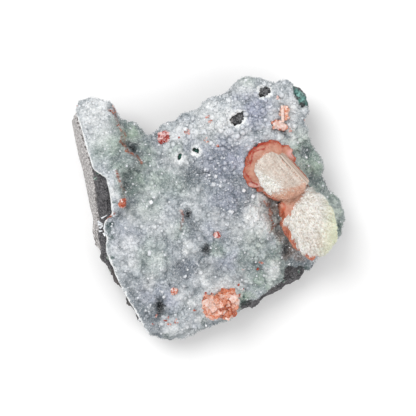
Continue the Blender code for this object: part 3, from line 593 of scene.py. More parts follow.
# Tones laid over the crust in turn; the last four are painted shade: in hollows and creases, in patches, as a
# brown shadow, and in pits
CRUST_LAYERS = [
    ("lilac", 0.55, (158, 161, 190)), ("green", 0.8, (150, 174, 150)), ("pale", 0.9, (243, 244, 243)),
    ("hollow", 0.5, (98, 112, 118)), ("shade", 0.72, (76, 88, 98)), ("brown", 0.7, (124, 98, 80)),
    ("pit", 1.0, (34, 40, 42)),
]

LARGE_BEADS = {"spacing": 2.2, "radius": (0.8, 1.6), "sides": 6, "most": 8500}
SMALL_BEADS = {"spacing": 1.2, "radius": (0.34, 0.8), "sides": 5, "most": 10800}
DRUSE_COUNT = 44000
DRUSE_HEIGHT = (0.2, 0.48)
SPARKLES = [
    (10.9, -0.8), (-26.4, -20.6), (-19.5, -21.1), (-20.5, -38.1), (-19.5, -40.4), (3.5, 11.6), (6.7, 10.7),
    (16.9, 8.9), (-25.5, 3.3), (21.9, 6.1), (11.6, -1.4), (-26.0, -19.8), (-10.0, -31.0), (4.6, 15.0),
]
SPARKLE_COUNT = 330
SPARKLE_CUT = 0.24
SHARDS = [
    (-50.6, -5.6, -0.5, 2.8, 1.1), (-50.2, -7.0, -0.2, 3.2, 1.0), (-49.4, -8.6, 0.5, 2.4, 1.1),
    (-47.4, -9.2, 1.4, 2.2, 1.0), (-49.6, -10.2, 0.1, 2.2, 0.9), (-47.0, -12.4, 2.2, 1.8, 0.9),
    (-48.8, -4.2, 0.5, 3.0, 0.8),
]


class Surface:
    """Points of a fine mesh with their normals and marks, on which smaller pieces grow."""

    def __init__(self, mesh, marks, lively=None):
        self.points = points_of(mesh)
        self.normals = normals_of(mesh)
        self.marks = marks
        self.lively = lively

    def marks_at(self, numbers):
        """The marks of the points with these numbers."""
        return {name: values[numbers] for name, values in self.marks.items()}


def searched(mesh):
    """A search over the faces of a mesh."""
    return BVHTree.FromPolygons([v.co for v in mesh.vertices], [p.vertices[:] for p in mesh.polygons])


def drawn_to(points, crystals):
    """Points close to a crystal moved onto it, so that the crust grips the crystals without a gap."""
    moved = points.copy()
    for crystal in crystals:
        search = searched(crystal)
        outer = points_of(crystal)
        low, high = outer.min(axis=0) - CONTACT_REACH, outer.max(axis=0) + CONTACT_REACH
        close = np.flatnonzero(np.all((moved > low) & (moved < high), axis=1))
        for number in close.tolist():
            found, _, _, away = search.find_nearest(Vector(moved[number]), CONTACT_REACH)
            if found is not None:
                share = float(eased(PATCH_EDGE - away / CONTACT_REACH))
                moved[number] += (np.array(found) - moved[number]) * share
    return moved


def ragged_windows(points, upward):
    """The rims of the windows drawn in and out unevenly."""
    x, y = points[:, 0], points[:, 1]
    uneven = rough(points, 1.9 * MM, 2, seed=44)
    moved = points.copy()
    for wx, wy, reach in WINDOW_SPOTS:
        dx, dy = x - wx * MM, y - wy * MM
        away = np.maximum(np.hypot(dx, dy), 1e-6)
        near = eased(1.5 - np.abs(away - reach * MM) / (1.1 * MM)) * upward
        shift = (0.6 * MM + uneven * WINDOW_RAGGED) * near
        moved[:, 0] -= dx / away * shift
        moved[:, 1] -= dy / away * shift
    return moved


def crust_parts(x, y):
    """The parts of the crust with a relief of their own, from 0 to 1, and how lively and calm it is."""
    plateau = eased(depth_inside(x, y, PLATEAU) / (4 * MM) + 0.5)
    lx, ly, across, along = [value * MM for value in LOBE]
    lobe = eased(1.2 - np.hypot((x - lx) / across, (y - ly) / along))
    hx, hy, halo_reach = [value * MM for value in CLUSTER_HALO]
    halo = eased(1.5 - np.hypot(x - hx, y - hy) / halo_reach)
    at_saw = eased(1.5 - line_distance(x, y, SAWN_EDGE) / (2.2 * MM))
    lively = (0.55 + 0.45 * plateau) * (1.0 - 0.6 * lobe) * (1.0 - 0.6 * halo)
    calm = (1.0 - 0.55 * lobe) * (1.0 - 0.5 * halo) * (1.0 - 0.85 * at_saw)
    return SimpleNamespace(plateau=plateau, halo=halo, at_saw=at_saw, lively=lively, calm=calm)


def crust_relief(points, out, upward, part, coarse, fine):
    """The crust's points raised into lumps, and drawn up round the collar and the cluster."""
    wave = (coarse.height - LUMP_LEVEL) * COARSE_LUMPS[1] * part.calm * (1.0 - 0.4 * part.plateau)
    wave += (fine.height - LUMP_LEVEL) * FINE_LUMPS[1] * part.calm
    wave += rough(points, 2.4 * MM, 3, seed=1) * 0.3 * MM * part.lively
    from_collar = np.maximum(0.0, -depth_inside(points[:, 0], points[:, 1], COLLAR_FOOT))
    moved = points + out * ((wave - 0.2 * MM) * upward)[:, None]
    moved[:, 2] += COLLAR_RISE * eased(1.0 - from_collar / COLLAR_RISE_WIDTH) * upward
    moved[:, 2] += HALO_RISE * part.halo * upward
    return moved + out * (0.25 * MM * part.at_saw * upward)[:, None]


def crust_marks(x, y, points, out, upward, part, coarse, fine):
    """What the crust's materials read: painted shade in hollows, creases and pits, patches of tone, painted
    shade and painted brown shadow, how strongly beads take painted shade and highlight, seams and broken
    rims.
    """
    warp_x = x + rough(points, 6 * MM, 2, seed=2) * 2.2 * MM
    warp_y = y + rough(points, 6 * MM, 2, seed=3) * 2.2 * MM
    broad = HeightMap(points, 4.0 * MM).at(x, y)
    # Painted shade in the creases between lumps; it joins the painted shade in hollows
    painted_crease_shade = (1.0 - coarse.inner) * 0.35 * part.calm + (1.0 - fine.inner) * 0.3
    level_ground = eased((out[:, 2] - 0.1) / 0.4)
    return {
        "hollow": np.clip((broad - points[:, 2]) / (2.6 * MM), 0.0, 1.0) + painted_crease_shade * upward,
        "own": 0.5 * coarse.tone + 0.5 * fine.tone,
        "lilac": patches(warp_x, warp_y, LILAC_PATCHES),
        "green": patches(warp_x, warp_y, GREEN_PATCHES),
        "pale": patches(warp_x, warp_y, PALE_PATCHES),
        "shade": patches(warp_x, warp_y, SHADE_PATCHES),
        "teal": patches(warp_x, warp_y, TEAL_SPOTS),
        # Painted shade in the pits
        "pit": patches(x + 0.3 * (warp_x - x), y + 0.3 * (warp_y - y), PAINTED_PIT_SHADE),
        "broken": broken_rim(x, y, out, points),
        "rust": seams(points) * (0.35 + 0.65 * level_ground),
        # How strongly the beads take painted shade at their foot and a painted highlight at their crest: most
        # on the plateau
        "glassy": 0.15 + 0.85 * part.plateau,
        # Painted brown shadow beside the sheaf pair
        "brown": patches(warp_x, warp_y, BROWN_SHADOW_PATCHES),
    }


def crust_piece(held):
    """The chalcedony crust without its beads, drawn close to the crystals that it holds."""
    chance = np.random.default_rng(SEED + 9)
    made = fine_copy("chalcedony_crust", "crust", CRUST_VOXEL, under_keep=0.6)
    mesh = made.data
    points = points_of(mesh)
    steep = 1.0 - np.abs(normals_of(mesh)[:, 2])
    points = relaxed(points, edges_of(mesh), CRUST_SMOOTH_ROUNDS, hold=0.35 * steep)
    put_points(mesh, points)
    out = normals_of(mesh)
    x, y = points[:, 0], points[:, 1]
    upward = eased((out[:, 2] + 0.35) / 0.3)
    part = crust_parts(x, y)
    coarse = lumps(points, COARSE_LUMPS[0], chance)
    fine = lumps(points, FINE_LUMPS[0], chance)
    points = crust_relief(points, out, upward, part, coarse, fine)
    points = ragged_windows(drawn_to(points, held), upward)
    put_points(mesh, points)
    marks = crust_marks(x, y, points, out, upward, part, coarse, fine)
    grain = {"crest": np.full(len(points), 0.5), "tone": 0.5 + 0.5 * rough(points, 1.5 * MM, 2, seed=15)}
    mark_all(mesh, {**marks, **grain})
    mesh.materials.append(crust_material())
    return made, Surface(mesh, marks, part.lively)


def bead_piece(name, surface, beads, seed):
    """Round beads that overlap on the crust, larger and higher where it is livelier."""
    chance = np.random.default_rng(seed)
    open_side = np.flatnonzero((surface.normals[:, 2] > -0.3) & (surface.marks["broken"] < 0.5))
    steep = 1.0 - np.clip(surface.normals[open_side, 2], 0.0, 1.0)
    spacing = beads["spacing"] * MM * (0.82 + 0.3 * surface.lively[open_side] + 0.5 * steep)
    numbers = open_side[spread_out(surface.points[open_side], spacing, chance)][: beads["most"]]
    count = len(numbers)
    lively = surface.lively[numbers]
    least, most = beads["radius"]
    radius = (least + (most - least) * chance.uniform(0.0, 1.0, count) ** 1.6) * MM * (0.78 + 0.32 * lively)
    clumps = 0.75 + 0.55 * rough(surface.points[numbers], 7.0 * MM, 2, seed=16)
    height = radius * chance.uniform(0.5, 1.0, count) * (0.45 + 0.5 * lively) * np.clip(clumps, 0.25, 1.2)
    sizes = np.column_stack([radius * chance.uniform(0.88, 1.12, count), radius, height])
    frames = frames_about(surface.normals[numbers], chance, 0.16)
    centres = surface.points[numbers] - surface.normals[numbers] * (height * 0.3)[:, None]
    form = dome(beads["sides"])
    marks = surface.marks_at(numbers)
    marks["tone"] = 0.5 + 0.45 * rough(surface.points[numbers], 3.2 * MM, 2, seed=17)
    marks["tone"] += chance.normal(0.0, 0.2, count)
    marks["crest"] = np.tile(form[0][:, 2], count)
    material = bpy.data.materials["chalcedony druse"]
    return joined(name, form, frames, sizes, centres, marks, material, smooth=True)


def druse_piece(surface):
    """Tiny quartz points all over the crust, which make it glisten."""
    chance = np.random.default_rng(SEED + 5)
    open_side = np.flatnonzero((surface.normals[:, 2] > -0.2) & (surface.marks["broken"] < 0.6))
    numbers = chance.choice(open_side, size=DRUSE_COUNT, replace=False)
    height = chance.uniform(*DRUSE_HEIGHT, DRUSE_COUNT) * MM
    width = height * chance.uniform(0.7, 1.2, DRUSE_COUNT)
    frames = frames_about(surface.normals[numbers], chance, 0.45)
    lift = chance.uniform(0.0, 0.55, DRUSE_COUNT) * MM
    centres = surface.points[numbers] + surface.normals[numbers] * lift[:, None]
    centres += chance.normal(0.0, 0.15 * MM, centres.shape)
    marks = surface.marks_at(numbers)
    marks["tone"] = 0.5 + 0.4 * rough(surface.points[numbers], 3.2 * MM, 2, seed=17)
    marks["tone"] += chance.normal(0.0, 0.3, DRUSE_COUNT)
    sizes = np.column_stack([width, width, height])
    return joined("crust_druse", quartz_point(), frames, sizes, centres, marks, druse_material())


def sparkle_piece(surface):
    """Larger clear crystals scattered on the crust, which catch the light; their near-white colour is painted
    glint as well.
    """
    chance = np.random.default_rng(SEED + 10)
    upper = np.flatnonzero((surface.normals[:, 2] > 0.3) & (surface.marks["pit"] < 0.3))
    tree = tree_of(surface.points[upper] * (1.0, 1.0, 0.0))
    named = [upper[tree.find((x * MM, y * MM, 0.0))[1]] for x, y in SPARKLES]
    numbers = np.concatenate([named, chance.choice(upper, SPARKLE_COUNT - len(named), replace=False)])
    size = chance.uniform(0.26, 0.46, SPARKLE_COUNT) * MM
    size[: len(named)] = chance.uniform(0.5, 0.8, len(named)) * MM
    frames = frames_about(surface.normals[numbers], chance, 0.7)
    sizes = size[:, None] * chance.uniform(0.8, 1.1, (SPARKLE_COUNT, 3))
    centres = surface.points[numbers] + surface.normals[numbers] * (0.7 * size)[:, None]
    marks = {"tone": chance.uniform(0.6, 1.0, SPARKLE_COUNT)}
    form = blocky_crystal(SPARKLE_CUT)
    return joined("crust_sparkles", form, frames, sizes, centres, marks, sparkle_material())


def shard_piece():
    """White splinters of broken crust at the left edge."""
    solids = [searched(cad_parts[node].data) for node in ("basalt_matrix", "chalcedony_crust")]
    places, frames, sizes = [], [], []
    for x, y, turn, length, width in SHARDS:
        start = np.array([x, y]) * MM
        end = start + np.array([math.cos(turn), math.sin(turn)]) * length * MM
        levels = [max(settled_height(solid, *spot, 0.0) for solid in solids) for spot in (start, end)]
        along = unit(np.array([*(end - start), levels[1] - levels[0]]))
        across = np.array([-math.sin(turn), math.cos(turn), 0.0])
        places.append((*start, levels[0] + 0.2 * MM))
        frames.append(np.array([along, across, np.cross(along, across)]).T)
        sizes.append((length * MM, width * MM, 0.8 * width * MM))
    marks = {"tone": np.linspace(0.3, 0.9, len(SHARDS))}
    material = bpy.data.materials["white quartz and painted glint"]
    return joined(
        "crust_shards", blade(), np.array(frames), np.array(sizes), np.array(places), marks, material
    )


def sparkle_material():
    """Clear quartz, nearly white with a faint cloud inside: a painted glint on the sparkles, and the white of
    broken crust on the shards.
    """
    n = Nodes("white quartz and painted glint")
    cloud = n.ranged(n.noise(0.6 * MM, 2.0), 0.35, 0.65)
    # Near-white colour: painted glint on the sparkles
    colour = n.mixed(cloud, (226, 230, 236), (254, 254, 254))
    colour = n.mixed(n.ranged(n.marked("tone"), 0.6, 1.0, 0.3, 0.0), colour, (206, 214, 222))
    return n.finish(Base_Color=colour, Roughness=0.08, Transmission_Weight=0.1, IOR=1.54)


def broken_rim(x, y, out, points):
    """Where the crust is broken through and shows white: along the sawn edge and round the windows."""
    ragged = rough(points, 1.6 * MM, 2, seed=4) * 0.3 * MM
    edge = eased(1.0 - (line_distance(x, y, SAWN_EDGE) + ragged - 0.75 * MM) / (0.4 * MM))
    found = edge * np.where(out[:, 2] > -0.6, 1.0, 0.0)
    for wx, wy, reach in WINDOW_SPOTS:
        away = np.hypot(x - wx * MM, y - wy * MM) - reach * MM
        found = np.maximum(found, eased(1.0 - (away + ragged - 0.85 * MM) / (0.5 * MM)))
    corner = eased(1.4 - (line_distance(x, y, CORNER_EDGE) + ragged) / (0.8 * MM))
    return np.maximum(found, 0.8 * corner * eased(out[:, 2] + 0.8))


def seams(points):
    """Rust-coloured seams, broken up along their length."""
    x, y = points[:, 0], points[:, 1]
    wander = rough(points, 1.6 * MM, 2, seed=5) * 0.35 * MM
    breaks = eased(rough(points, 2.6 * MM, 1, seed=6) * 1.6 + 0.95)
    found = np.zeros(len(points))
    for line, width, strength, _ in SEAMS:
        away = np.abs(line_distance(x, y, line) + wander)
        found = np.maximum(found, strength * breaks * eased(1.7 - away / (width * MM)))
    return found


def crust_tones(n):
    """The tones that the crust, its beads and its druse share, with painted shade laid over them in hollows,
    creases, patches and pits, and a painted brown shadow.
    """
    cloud = n.ranged(n.noise(7.0 * MM, 4.0, 0.6), 0.36, 0.64, 0.0, 0.3)
    colour = n.mixed(n.marked("tone"), (162, 169, 177), (222, 225, 229))
    colour = n.mixed(cloud, colour, (160, 172, 170))
    colour = n.mixed(n.ranged(n.marked("own"), 0.5, 1.0, 0.0, 0.4), colour, (236, 239, 240))
    colour = n.mixed(n.ranged(n.marked("own"), 0.5, 0.0, 0.0, 0.4), colour, (130, 141, 152))
    return n.layered(colour, CRUST_LAYERS)


def crust_stains(n, colour):
    """Celadonite, rust and the white of broken edges, over the tones."""
    teal = n.maths("MULTIPLY", n.marked("teal"), n.ranged(n.noise(1.2 * MM), 0.35, 0.6))
    colour = n.mixed(teal, colour, (38, 76, 70))
    rust = n.maths("MULTIPLY", n.marked("rust"), n.ranged(n.noise(0.9 * MM), 0.3, 0.55))
    rusty = n.mixed(n.ranged(n.noise(1.4 * MM), 0.35, 0.65), (146, 62, 34), (190, 132, 106))
    colour = n.mixed(rust, colour, rusty)
    layers = n.ranged(n.noise(0.9 * MM, 3.0, 0.6, stretch=(1.0, 1.0, 2.5)), 0.4, 0.6)
    return n.mixed(n.marked("broken"), colour, n.mixed(layers, (212, 217, 219), (250, 250, 249)))


def crust_material():
    """Chalcedony beads: painted shade at their foot where they meet, a painted highlight at their crests,
    each with a tone of its own.
    """
    n = Nodes("chalcedony druse")
    fleck = n.ranged(n.noise(0.8 * MM, 3.0, 0.75), 0.32, 0.68)
    glassy = n.marked("glassy")
    # Painted shade at the foot of each bead, where beads meet
    foot = n.maths("MULTIPLY", n.ranged(n.marked("crest"), 0.0, 0.5, 0.5, 0.0), glassy)
    colour = n.mixed(foot, crust_tones(n), (92, 104, 118))
    # Painted highlight at the crest of each bead
    painted_crest_highlight = n.maths("MULTIPLY", n.ranged(n.marked("crest"), 0.7, 1.0, 0.0, 0.4), glassy)
    colour = n.mixed(painted_crest_highlight, colour, (246, 247, 250))
    colour = n.mixed(n.ranged(fleck, 0.55, 1.0, 0.0, 0.6), colour, (244, 245, 248))
    colour = n.mixed(n.ranged(fleck, 0.5, 0.0, 0.0, 0.45), colour, (112, 122, 132))
    return n.finish(
        Base_Color=crust_stains(n, colour),
        Roughness=n.ranged(fleck, 0.0, 1.0, 0.42, 0.2),
        Subsurface_Weight=0.15,
        Subsurface_Radius=(0.0012, 0.0011, 0.001),
        Normal=n.bump(n.noise(0.5 * MM, 4.0, 0.65), 0.2 * MM, 0.7),
    )


def druse_material():
    """Small clear quartz on the crust: the crust's tones, paler and glossier."""
    n = Nodes("quartz druse")
    colour = n.mixed(n.ranged(n.marked("tone"), 0.4, 1.0, 0.0, 0.8), crust_tones(n), (250, 251, 253))
    colour = n.mixed(n.ranged(n.marked("tone"), 0.4, 0.0, 0.0, 0.6), colour, (92, 104, 112))
    return n.finish(
        Base_Color=crust_stains(n, colour),
        Roughness=n.ranged(n.marked("tone"), 0.0, 1.0, 0.3, 0.12),
        Subsurface_Weight=0.1,
        Subsurface_Radius=(0.0008, 0.0008, 0.0008),
        IOR=1.54,
    )


# Basalt

CORNER_PATCH = [
    (38.6, 57.8), (41.9, 55.5), (44.6, 53.2), (46.6, 48.6), (45.6, 45.0), (42.4, 46.0), (40.4, 50.9),
    (38.6, 53.6),
]
CORNER_SWELL = 1.6 * MM
VESICLE_CELL = 5.5 * MM
GRAIN_STRETCH = (1.0, 1.0, 0.65)
KNOBS = [(14.3, 41.4, 3.6, 1.0), (26.6, 53.8, 3.2, 1.0)]
SAWN_AREA = [
    (-70.0, 52.0), (-57.4, 52.0), (-56.8, 40.0), (-54.4, 30.0), (-52.4, 18.3), (-52.0, 9.0), (-50.6, -0.4),
    (-49.6, -6.0), (-51.0, -12.0), (-49.5, -19.0), (-70.0, -19.0),
]
GREEN_KNOBS = [
    (-12.2, 24.1, 3.0, 1.0), (-4.6, 26.9, 3.0, 1.0), (17.0, -41.5, 3.0, 0.8), (44.0, -25.0, 3.0, 0.5),
]


def basalt_piece():
    """The block: hackly where it is broken, level and speckled on the sawn side."""
    chance = np.random.default_rng(SEED + 1)
    made = fine_copy("basalt_matrix", "basalt_block", BASALT_VOXEL, under_keep=0.5)
    mesh = made.data
    points = points_of(mesh)
    out = normals_of(mesh)
    x, y, z = points.T
    sawn = eased((-out[:, 0] - 0.75) / 0.12) * eased((y + 20 * MM) / (8 * MM)) * eased(1.2 + out[:, 2])
    foot = eased((out[:, 2] + 0.9) / 0.08)
    hackly = rough(points, 5.5 * MM, 4, seed=7) * 0.9 * MM + rough(points, 1.5 * MM, 2, seed=8) * 0.4 * MM
    ridges = 0.25 - np.abs(rough(points * (1.0, 1.0, 0.6), 9.0 * MM, 2, seed=51))
    hackly += ridges * 2.2 * MM * eased((0.8 - np.abs(out[:, 2])) / 0.3) * eased((32 * MM - z) / (6 * MM))
    grain = chance.uniform(-1.0, 1.0, len(points)) * 0.12 * MM
    inside = 1.0 - 0.35 * sawn
    shift = (hackly * (1.0 - sawn) + grain * inside - 0.35 * MM * (1.0 - sawn)) * foot
    corner = eased(depth_inside(x, y, CORNER_PATCH) / (1.2 * MM) + 0.5)
    shift += corner * CORNER_SWELL
    shift += eased(patches(x, y, KNOBS)) * rough(points, 1.6 * MM, 2, seed=46) * 0.9 * MM
    put_points(mesh, points + out * (shift * eased(z / (2.5 * MM)))[:, None])
    frayed = eased(rough(points, 2.2 * MM, 3, seed=52) * 2.4 + 1.0)
    mark_all(mesh, {
        "sawn": np.maximum(sawn, eased(depth_inside(x, y, SAWN_AREA) / (0.8 * MM) + 0.5)),
        "knob": patches(x, y, KNOBS),
        "teal": corner * frayed * eased(z / (3 * MM) - 6.5),
        "teal_dark": corner * eased((51.0 * MM - y) / (2.5 * MM)),
        "celadonite": patches(x, y, GREEN_KNOBS),
    })
    mesh.materials.append(basalt_material())
    return made


def broken_basalt(n, speck):
    """Dark broken rock with pale specks, brown stains and small filled bubbles."""
    blotch = n.ranged(n.noise(5 * MM, 4.0, 0.6), 0.35, 0.65)
    dark = n.mixed(blotch, (46, 46, 48), (86, 84, 87))
    dark = n.mixed(n.maths("MULTIPLY", speck, 0.65), dark, (150, 148, 150))
    away, grey = n.cells(VESICLE_CELL)
    spot = n.maths("MULTIPLY", n.ranged(away, 0.17, 0.22, 1.0, 0.0), n.ranged(grey, 0.62, 0.66))
    filling = n.mixed(n.ranged(n.noise(1.0 * MM, 2.0), 0.42, 0.58), (70, 98, 88), (178, 182, 178))
    brown = n.ranged(n.noise(14.0 * MM, 3.0, 0.6), 0.52, 0.7, 0.0, 0.45)
    return n.mixed(brown, n.mixed(spot, dark, filling), (92, 78, 68))


def sawn_basalt(n):
    """The lighter sawn face, speckled along its grain."""
    grain = n.ranged(n.noise(1.0 * MM, 3.0, 0.7, stretch=GRAIN_STRETCH), 0.4, 0.6)
    flecks = n.ranged(n.noise(0.8 * MM, 2.0, stretch=GRAIN_STRETCH), 0.54, 0.64, 0.0, 0.65)
    return n.mixed(flecks, n.mixed(grain, (108, 104, 102), (224, 220, 219)), (74, 72, 70))


def basalt_material():
    """Dark basalt with pale specks, lighter where sawn, and green with celadonite in places."""
    n = Nodes("basalt")
    speck = n.ranged(n.noise(0.7 * MM, 3.0, 0.75), 0.46, 0.66)
    light = n.mixed(n.ranged(n.noise(1.4 * MM, 3.0, 0.65), 0.4, 0.6), (50, 88, 84), (140, 190, 182))
    deep = n.mixed(n.ranged(n.noise(1.2 * MM, 3.0, 0.65), 0.45, 0.62), (26, 38, 40), (76, 116, 108))
    colour = n.layered(broken_basalt(n, speck), [
        ("sawn", 1.0, sawn_basalt(n)),
        ("teal", 1.0, n.mixed(n.marked("teal_dark"), light, deep)),
        ("knob", 1.0, n.mixed(n.ranged(n.noise(MM, 3.0, 0.7), 0.45, 0.6), (44, 46, 48), (128, 128, 130))),
        ("celadonite", 1.0, n.mixed(n.ranged(n.noise(0.9 * MM, 2.0), 0.4, 0.6), (24, 40, 38), (34, 84, 72))),
    ])
    relief = n.bump(n.noise(0.6 * MM, 4.0, 0.7), 0.3 * MM, 0.8)
    return n.finish(Base_Color=colour, Roughness=n.ranged(speck, 0.0, 1.0, 0.85, 0.55), Normal=relief)


# Sheaf crystals

BLOCK_TOP = [
    (26.8, 24.8), (30.2, 26.2), (32.5, 25.1), (34.4, 21.2), (38.4, 17.2), (42.8, 12.7), (45.8, 11.6),
    (45.2, 10.0), (42.0, 8.2), (37.6, 7.3), (32.5, 7.1), (29.8, 7.5), (28.4, 6.4), (26.1, 8.3), (24.1, 12.3),
    (23.4, 15.0), (22.7, 16.4), (21.7, 19.1), (24.1, 22.8),
]
BLOCK_WHITE = [
    (22.8, 16.6), (25.4, 15.0), (28.6, 14.2), (31.8, 11.5), (33.9, 8.4), (30.8, 7.0), (28.6, 5.8),
    (25.6, 8.0), (23.8, 11.8),
]
BLOCK_SIDE = [
    (33.3, 25.2), (35.9, 23.1), (38.1, 21.0), (40.8, 18.1), (44.1, 14.6), (45.8, 11.8), (43.0, 12.7),
    (38.6, 17.2), (34.5, 21.3),
]
FROST = [
    (46.0, 11.0), (43.7, 6.0), (41.9, 3.3), (39.5, 0.3), (38.1, -1.1), (37.4, -3.0), (34.7, -5.6),
    (37.1, -7.5), (38.5, -10.4), (40.0, -13.5), (40.7, -16.4), (43.3, -18.6), (44.3, -19.7), (46.0, -19.5),
    (47.2, -20.9), (50.0, -20.9), (52.7, -21.5), (58.8, -18.3), (63.4, -13.4), (63.6, -8.0), (62.0, -3.2),
    (61.0, 0.3), (59.0, 5.0), (54.5, 9.8), (48.0, 13.5),
]
WAIST_LINE = [(26.4, 7.6), (27.9, 6.6), (31.2, 4.4), (34.8, 2.5), (35.6, 1.6), (34.8, -0.1), (33.6, -1.6)]
LEFT_BAND = [
    (33.6, -1.6), (34.1, -4.0), (34.8, -9.2), (36.0, -12.1), (38.6, -15.7), (40.6, -17.9), (44.0, -20.6),
    (48.1, -22.6),
]
RIGHT_EDGE = [(38.2, 21.1), (40.9, 18.2), (44.0, 15.1), (45.8, 12.6)]
RED_BLOTCHES = [
    (22.0, 28.6, 2.0, 1.0), (20.6, 26.0, 1.4, 1.0), (20.0, 24.0, 1.2, 1.0), (18.4, 17.6, 1.3, 0.9),
    (31.0, 31.2, 2.2, 0.8), (34.8, 30.2, 1.6, 0.9), (27.0, 31.3, 1.5, 0.7), (38.8, 22.0, 1.1, 1.0),
    (19.6, 14.2, 1.0, 0.8), (22.2, 12.2, 1.0, 0.7), (38.6, 27.2, 1.2, 0.7), (35.4, 1.6, 1.0, 0.1),
    (34.0, -3.6, 1.2, 0.5), (49.0, -22.6, 2.4, 0.8), (46.0, -21.4, 1.4, 0.6), (28.0, 28.0, 0.8, 0.5),
    (19.6, 21.0, 1.6, 0.9), (24.0, 30.0, 1.6, 0.8), (17.8, 15.0, 1.4, 0.9), (35.4, 5.0, 1.2, 0.2),
    (34.6, -0.6, 1.0, 0.1), (35.6, -10.6, 1.2, 0.7), (38.8, -15.2, 1.2, 0.8), (40.0, 24.0, 1.0, 0.9),
]
PINK_TIPS = [
    (19.6, 11.2, 2.0, 0.9), (23.2, 10.4, 1.8, 0.8), (17.4, 16.0, 0.9, 0.4), (38.6, 25.4, 2.2, 1.0),
]
COLLAR_STRINGS = [
    [(27.7, 29.4), (26.2, 27.4), (23.4, 26.7), (21.4, 25.8), (20.6, 23.1), (20.2, 21.1)],
    [(17.8, 16.3), (19.4, 14.0), (21.4, 12.0), (23.0, 11.2)],
    [(31.0, 30.6), (27.0, 30.4), (24.0, 29.0), (21.8, 27.8), (19.8, 25.6)],
]
TOP_RIM = [
    (27.0, 31.4, 3.0, 1.0), (32.0, 31.6, 3.5, 1.0), (36.0, 30.4, 2.4, 0.8), (22.0, 28.8, 2.4, 0.8),
]
WAIST_AREA = [
    (29.0, 7.8), (33.0, 8.6), (38.0, 9.0), (43.0, 10.4), (46.0, 11.4), (45.2, 8.0), (42.8, 4.6), (40.0, 2.4),
    (36.6, 2.6), (32.6, 4.4),
]
# Pits in the frosting: fewer flakes grow there, and their darker colour is painted shade
FROST_PITS = [
    (43.4, -9.6, 2.2, 0.8), (47.0, -13.0, 3.0, 0.9), (51.0, -15.0, 3.4, 1.0), (47.6, -17.6, 2.4, 0.9),
    (52.6, -11.0, 2.4, 0.7), (50.0, -7.4, 2.0, 0.4),
]
COLLAR_BULGES = [
    (37.4, 27.0, 2.6, 1.3), (38.6, 24.0, 2.4, 1.8), (23.0, 29.6, 2.0, 0.5), (27.6, 7.0, 2.0, 1.3),
    (31.4, 5.6, 2.4, 1.5),
]
COLLAR_CENTRE = (30.0, 20.0)
UPPER_HUB = (38.0, 9.0)
LOWER_HUB = (38.5, 5.0)
WAIST_EDGE = [(29.8, 7.5), (32.5, 7.1), (37.6, 7.3), (42.0, 8.2), (45.2, 10.0)]
LOWER_CENTRE = (46.5, -6.5)
LOWER_OUTLINE = [
    (35.6, 1.6), (34.6, -0.1), (33.6, -1.8), (33.8, -4.6), (34.6, -9.2), (36.0, -12.4), (38.6, -16.0),
    (41.0, -18.6), (44.0, -20.9), (48.1, -23.6), (50.5, -22.8), (54.0, -20.4), (57.6, -17.2), (59.3, -13.4),
    (59.3, -10.0), (58.9, -6.0), (58.1, -3.0), (57.0, 0.3), (55.0, 3.6), (51.5, 7.2), (47.0, 10.4),
]
LOWER_SECTORS = 72
SHEAF_SMOOTH_ROUNDS = 26
FAN_RADIUS = 22
BLOCK_AXIS = (-0.674, 0.738, 0.0)


def fan_of(points):
    """For points of the pair: how far each belongs to the upper sheaf, and its angle and reach in its fan."""
    x, y = points[:, 0], points[:, 1]
    upper = eased((y - x * 0.55 + 14 * MM) / (3 * MM))
    hub_x = (LOWER_HUB[0] + (UPPER_HUB[0] - LOWER_HUB[0]) * upper) * MM
    hub_y = (LOWER_HUB[1] + (UPPER_HUB[1] - LOWER_HUB[1]) * upper) * MM
    return upper, np.arctan2(y - hub_y, x - hub_x), np.hypot(x - hub_x, y - hub_y)


def round_fan(angle, along):
    """Places set out by their angle in the fan, so that noise on them runs from the waist as fibres."""
    return np.column_stack([np.cos(angle) * FAN_RADIUS * MM, np.sin(angle) * FAN_RADIUS * MM, along])


def nearest_of(points, others):
    """Distance from each point to the nearest of the others."""
    tree = tree_of(others)
    return np.array([tree.find(place)[2] for place in points.tolist()])


def lime_of(points):
    """How yellow-green each place of the lower sheaf is: more towards its right side."""
    upper, _, _ = fan_of(points)
    return eased((points[:, 0] * 0.99 - points[:, 1] * 0.1 - 49 * MM) / (11 * MM)) * (1.0 - upper)


def lower_rounded(points):
    """The lower sheaf drawn out or in to its rounded outline, seen from above."""
    upper, _, _ = fan_of(points)
    cx, cy = (value * MM for value in LOWER_CENTRE)
    dx, dy = points[:, 0] - cx, points[:, 1] - cy
    angle, reach = np.arctan2(dy, dx), np.hypot(dx, dy)
    ring = outline(LOWER_OUTLINE) - (cx, cy)
    wanted = np.interp(angle, np.arctan2(ring[:, 1], ring[:, 0]), np.hypot(*ring.T), period=2 * math.pi)
    sector = ((angle + math.pi) / (2 * math.pi) * LOWER_SECTORS).astype(int) % LOWER_SECTORS
    farthest = np.zeros(LOWER_SECTORS)
    np.maximum.at(farthest, sector, np.where(upper < 0.4, reach, 0.0))
    farthest = np.maximum(farthest, 6 * MM)
    middles = (np.arange(LOWER_SECTORS) + 0.5) / LOWER_SECTORS * 2 * math.pi - math.pi
    had = np.interp(angle, middles, farthest, period=2 * math.pi)
    outer = eased(reach / had) * (1.0 - upper)
    away = eased((np.abs(np.arctan2(np.sin(angle - 2.0), np.cos(angle - 2.0))) - 0.5) / 0.4)
    scale = 1.0 + (np.clip(wanted / had, 0.85, 1.25) - 1.0) * outer * away
    return np.column_stack([cx + dx * scale, cy + dy * scale, points[:, 2]])


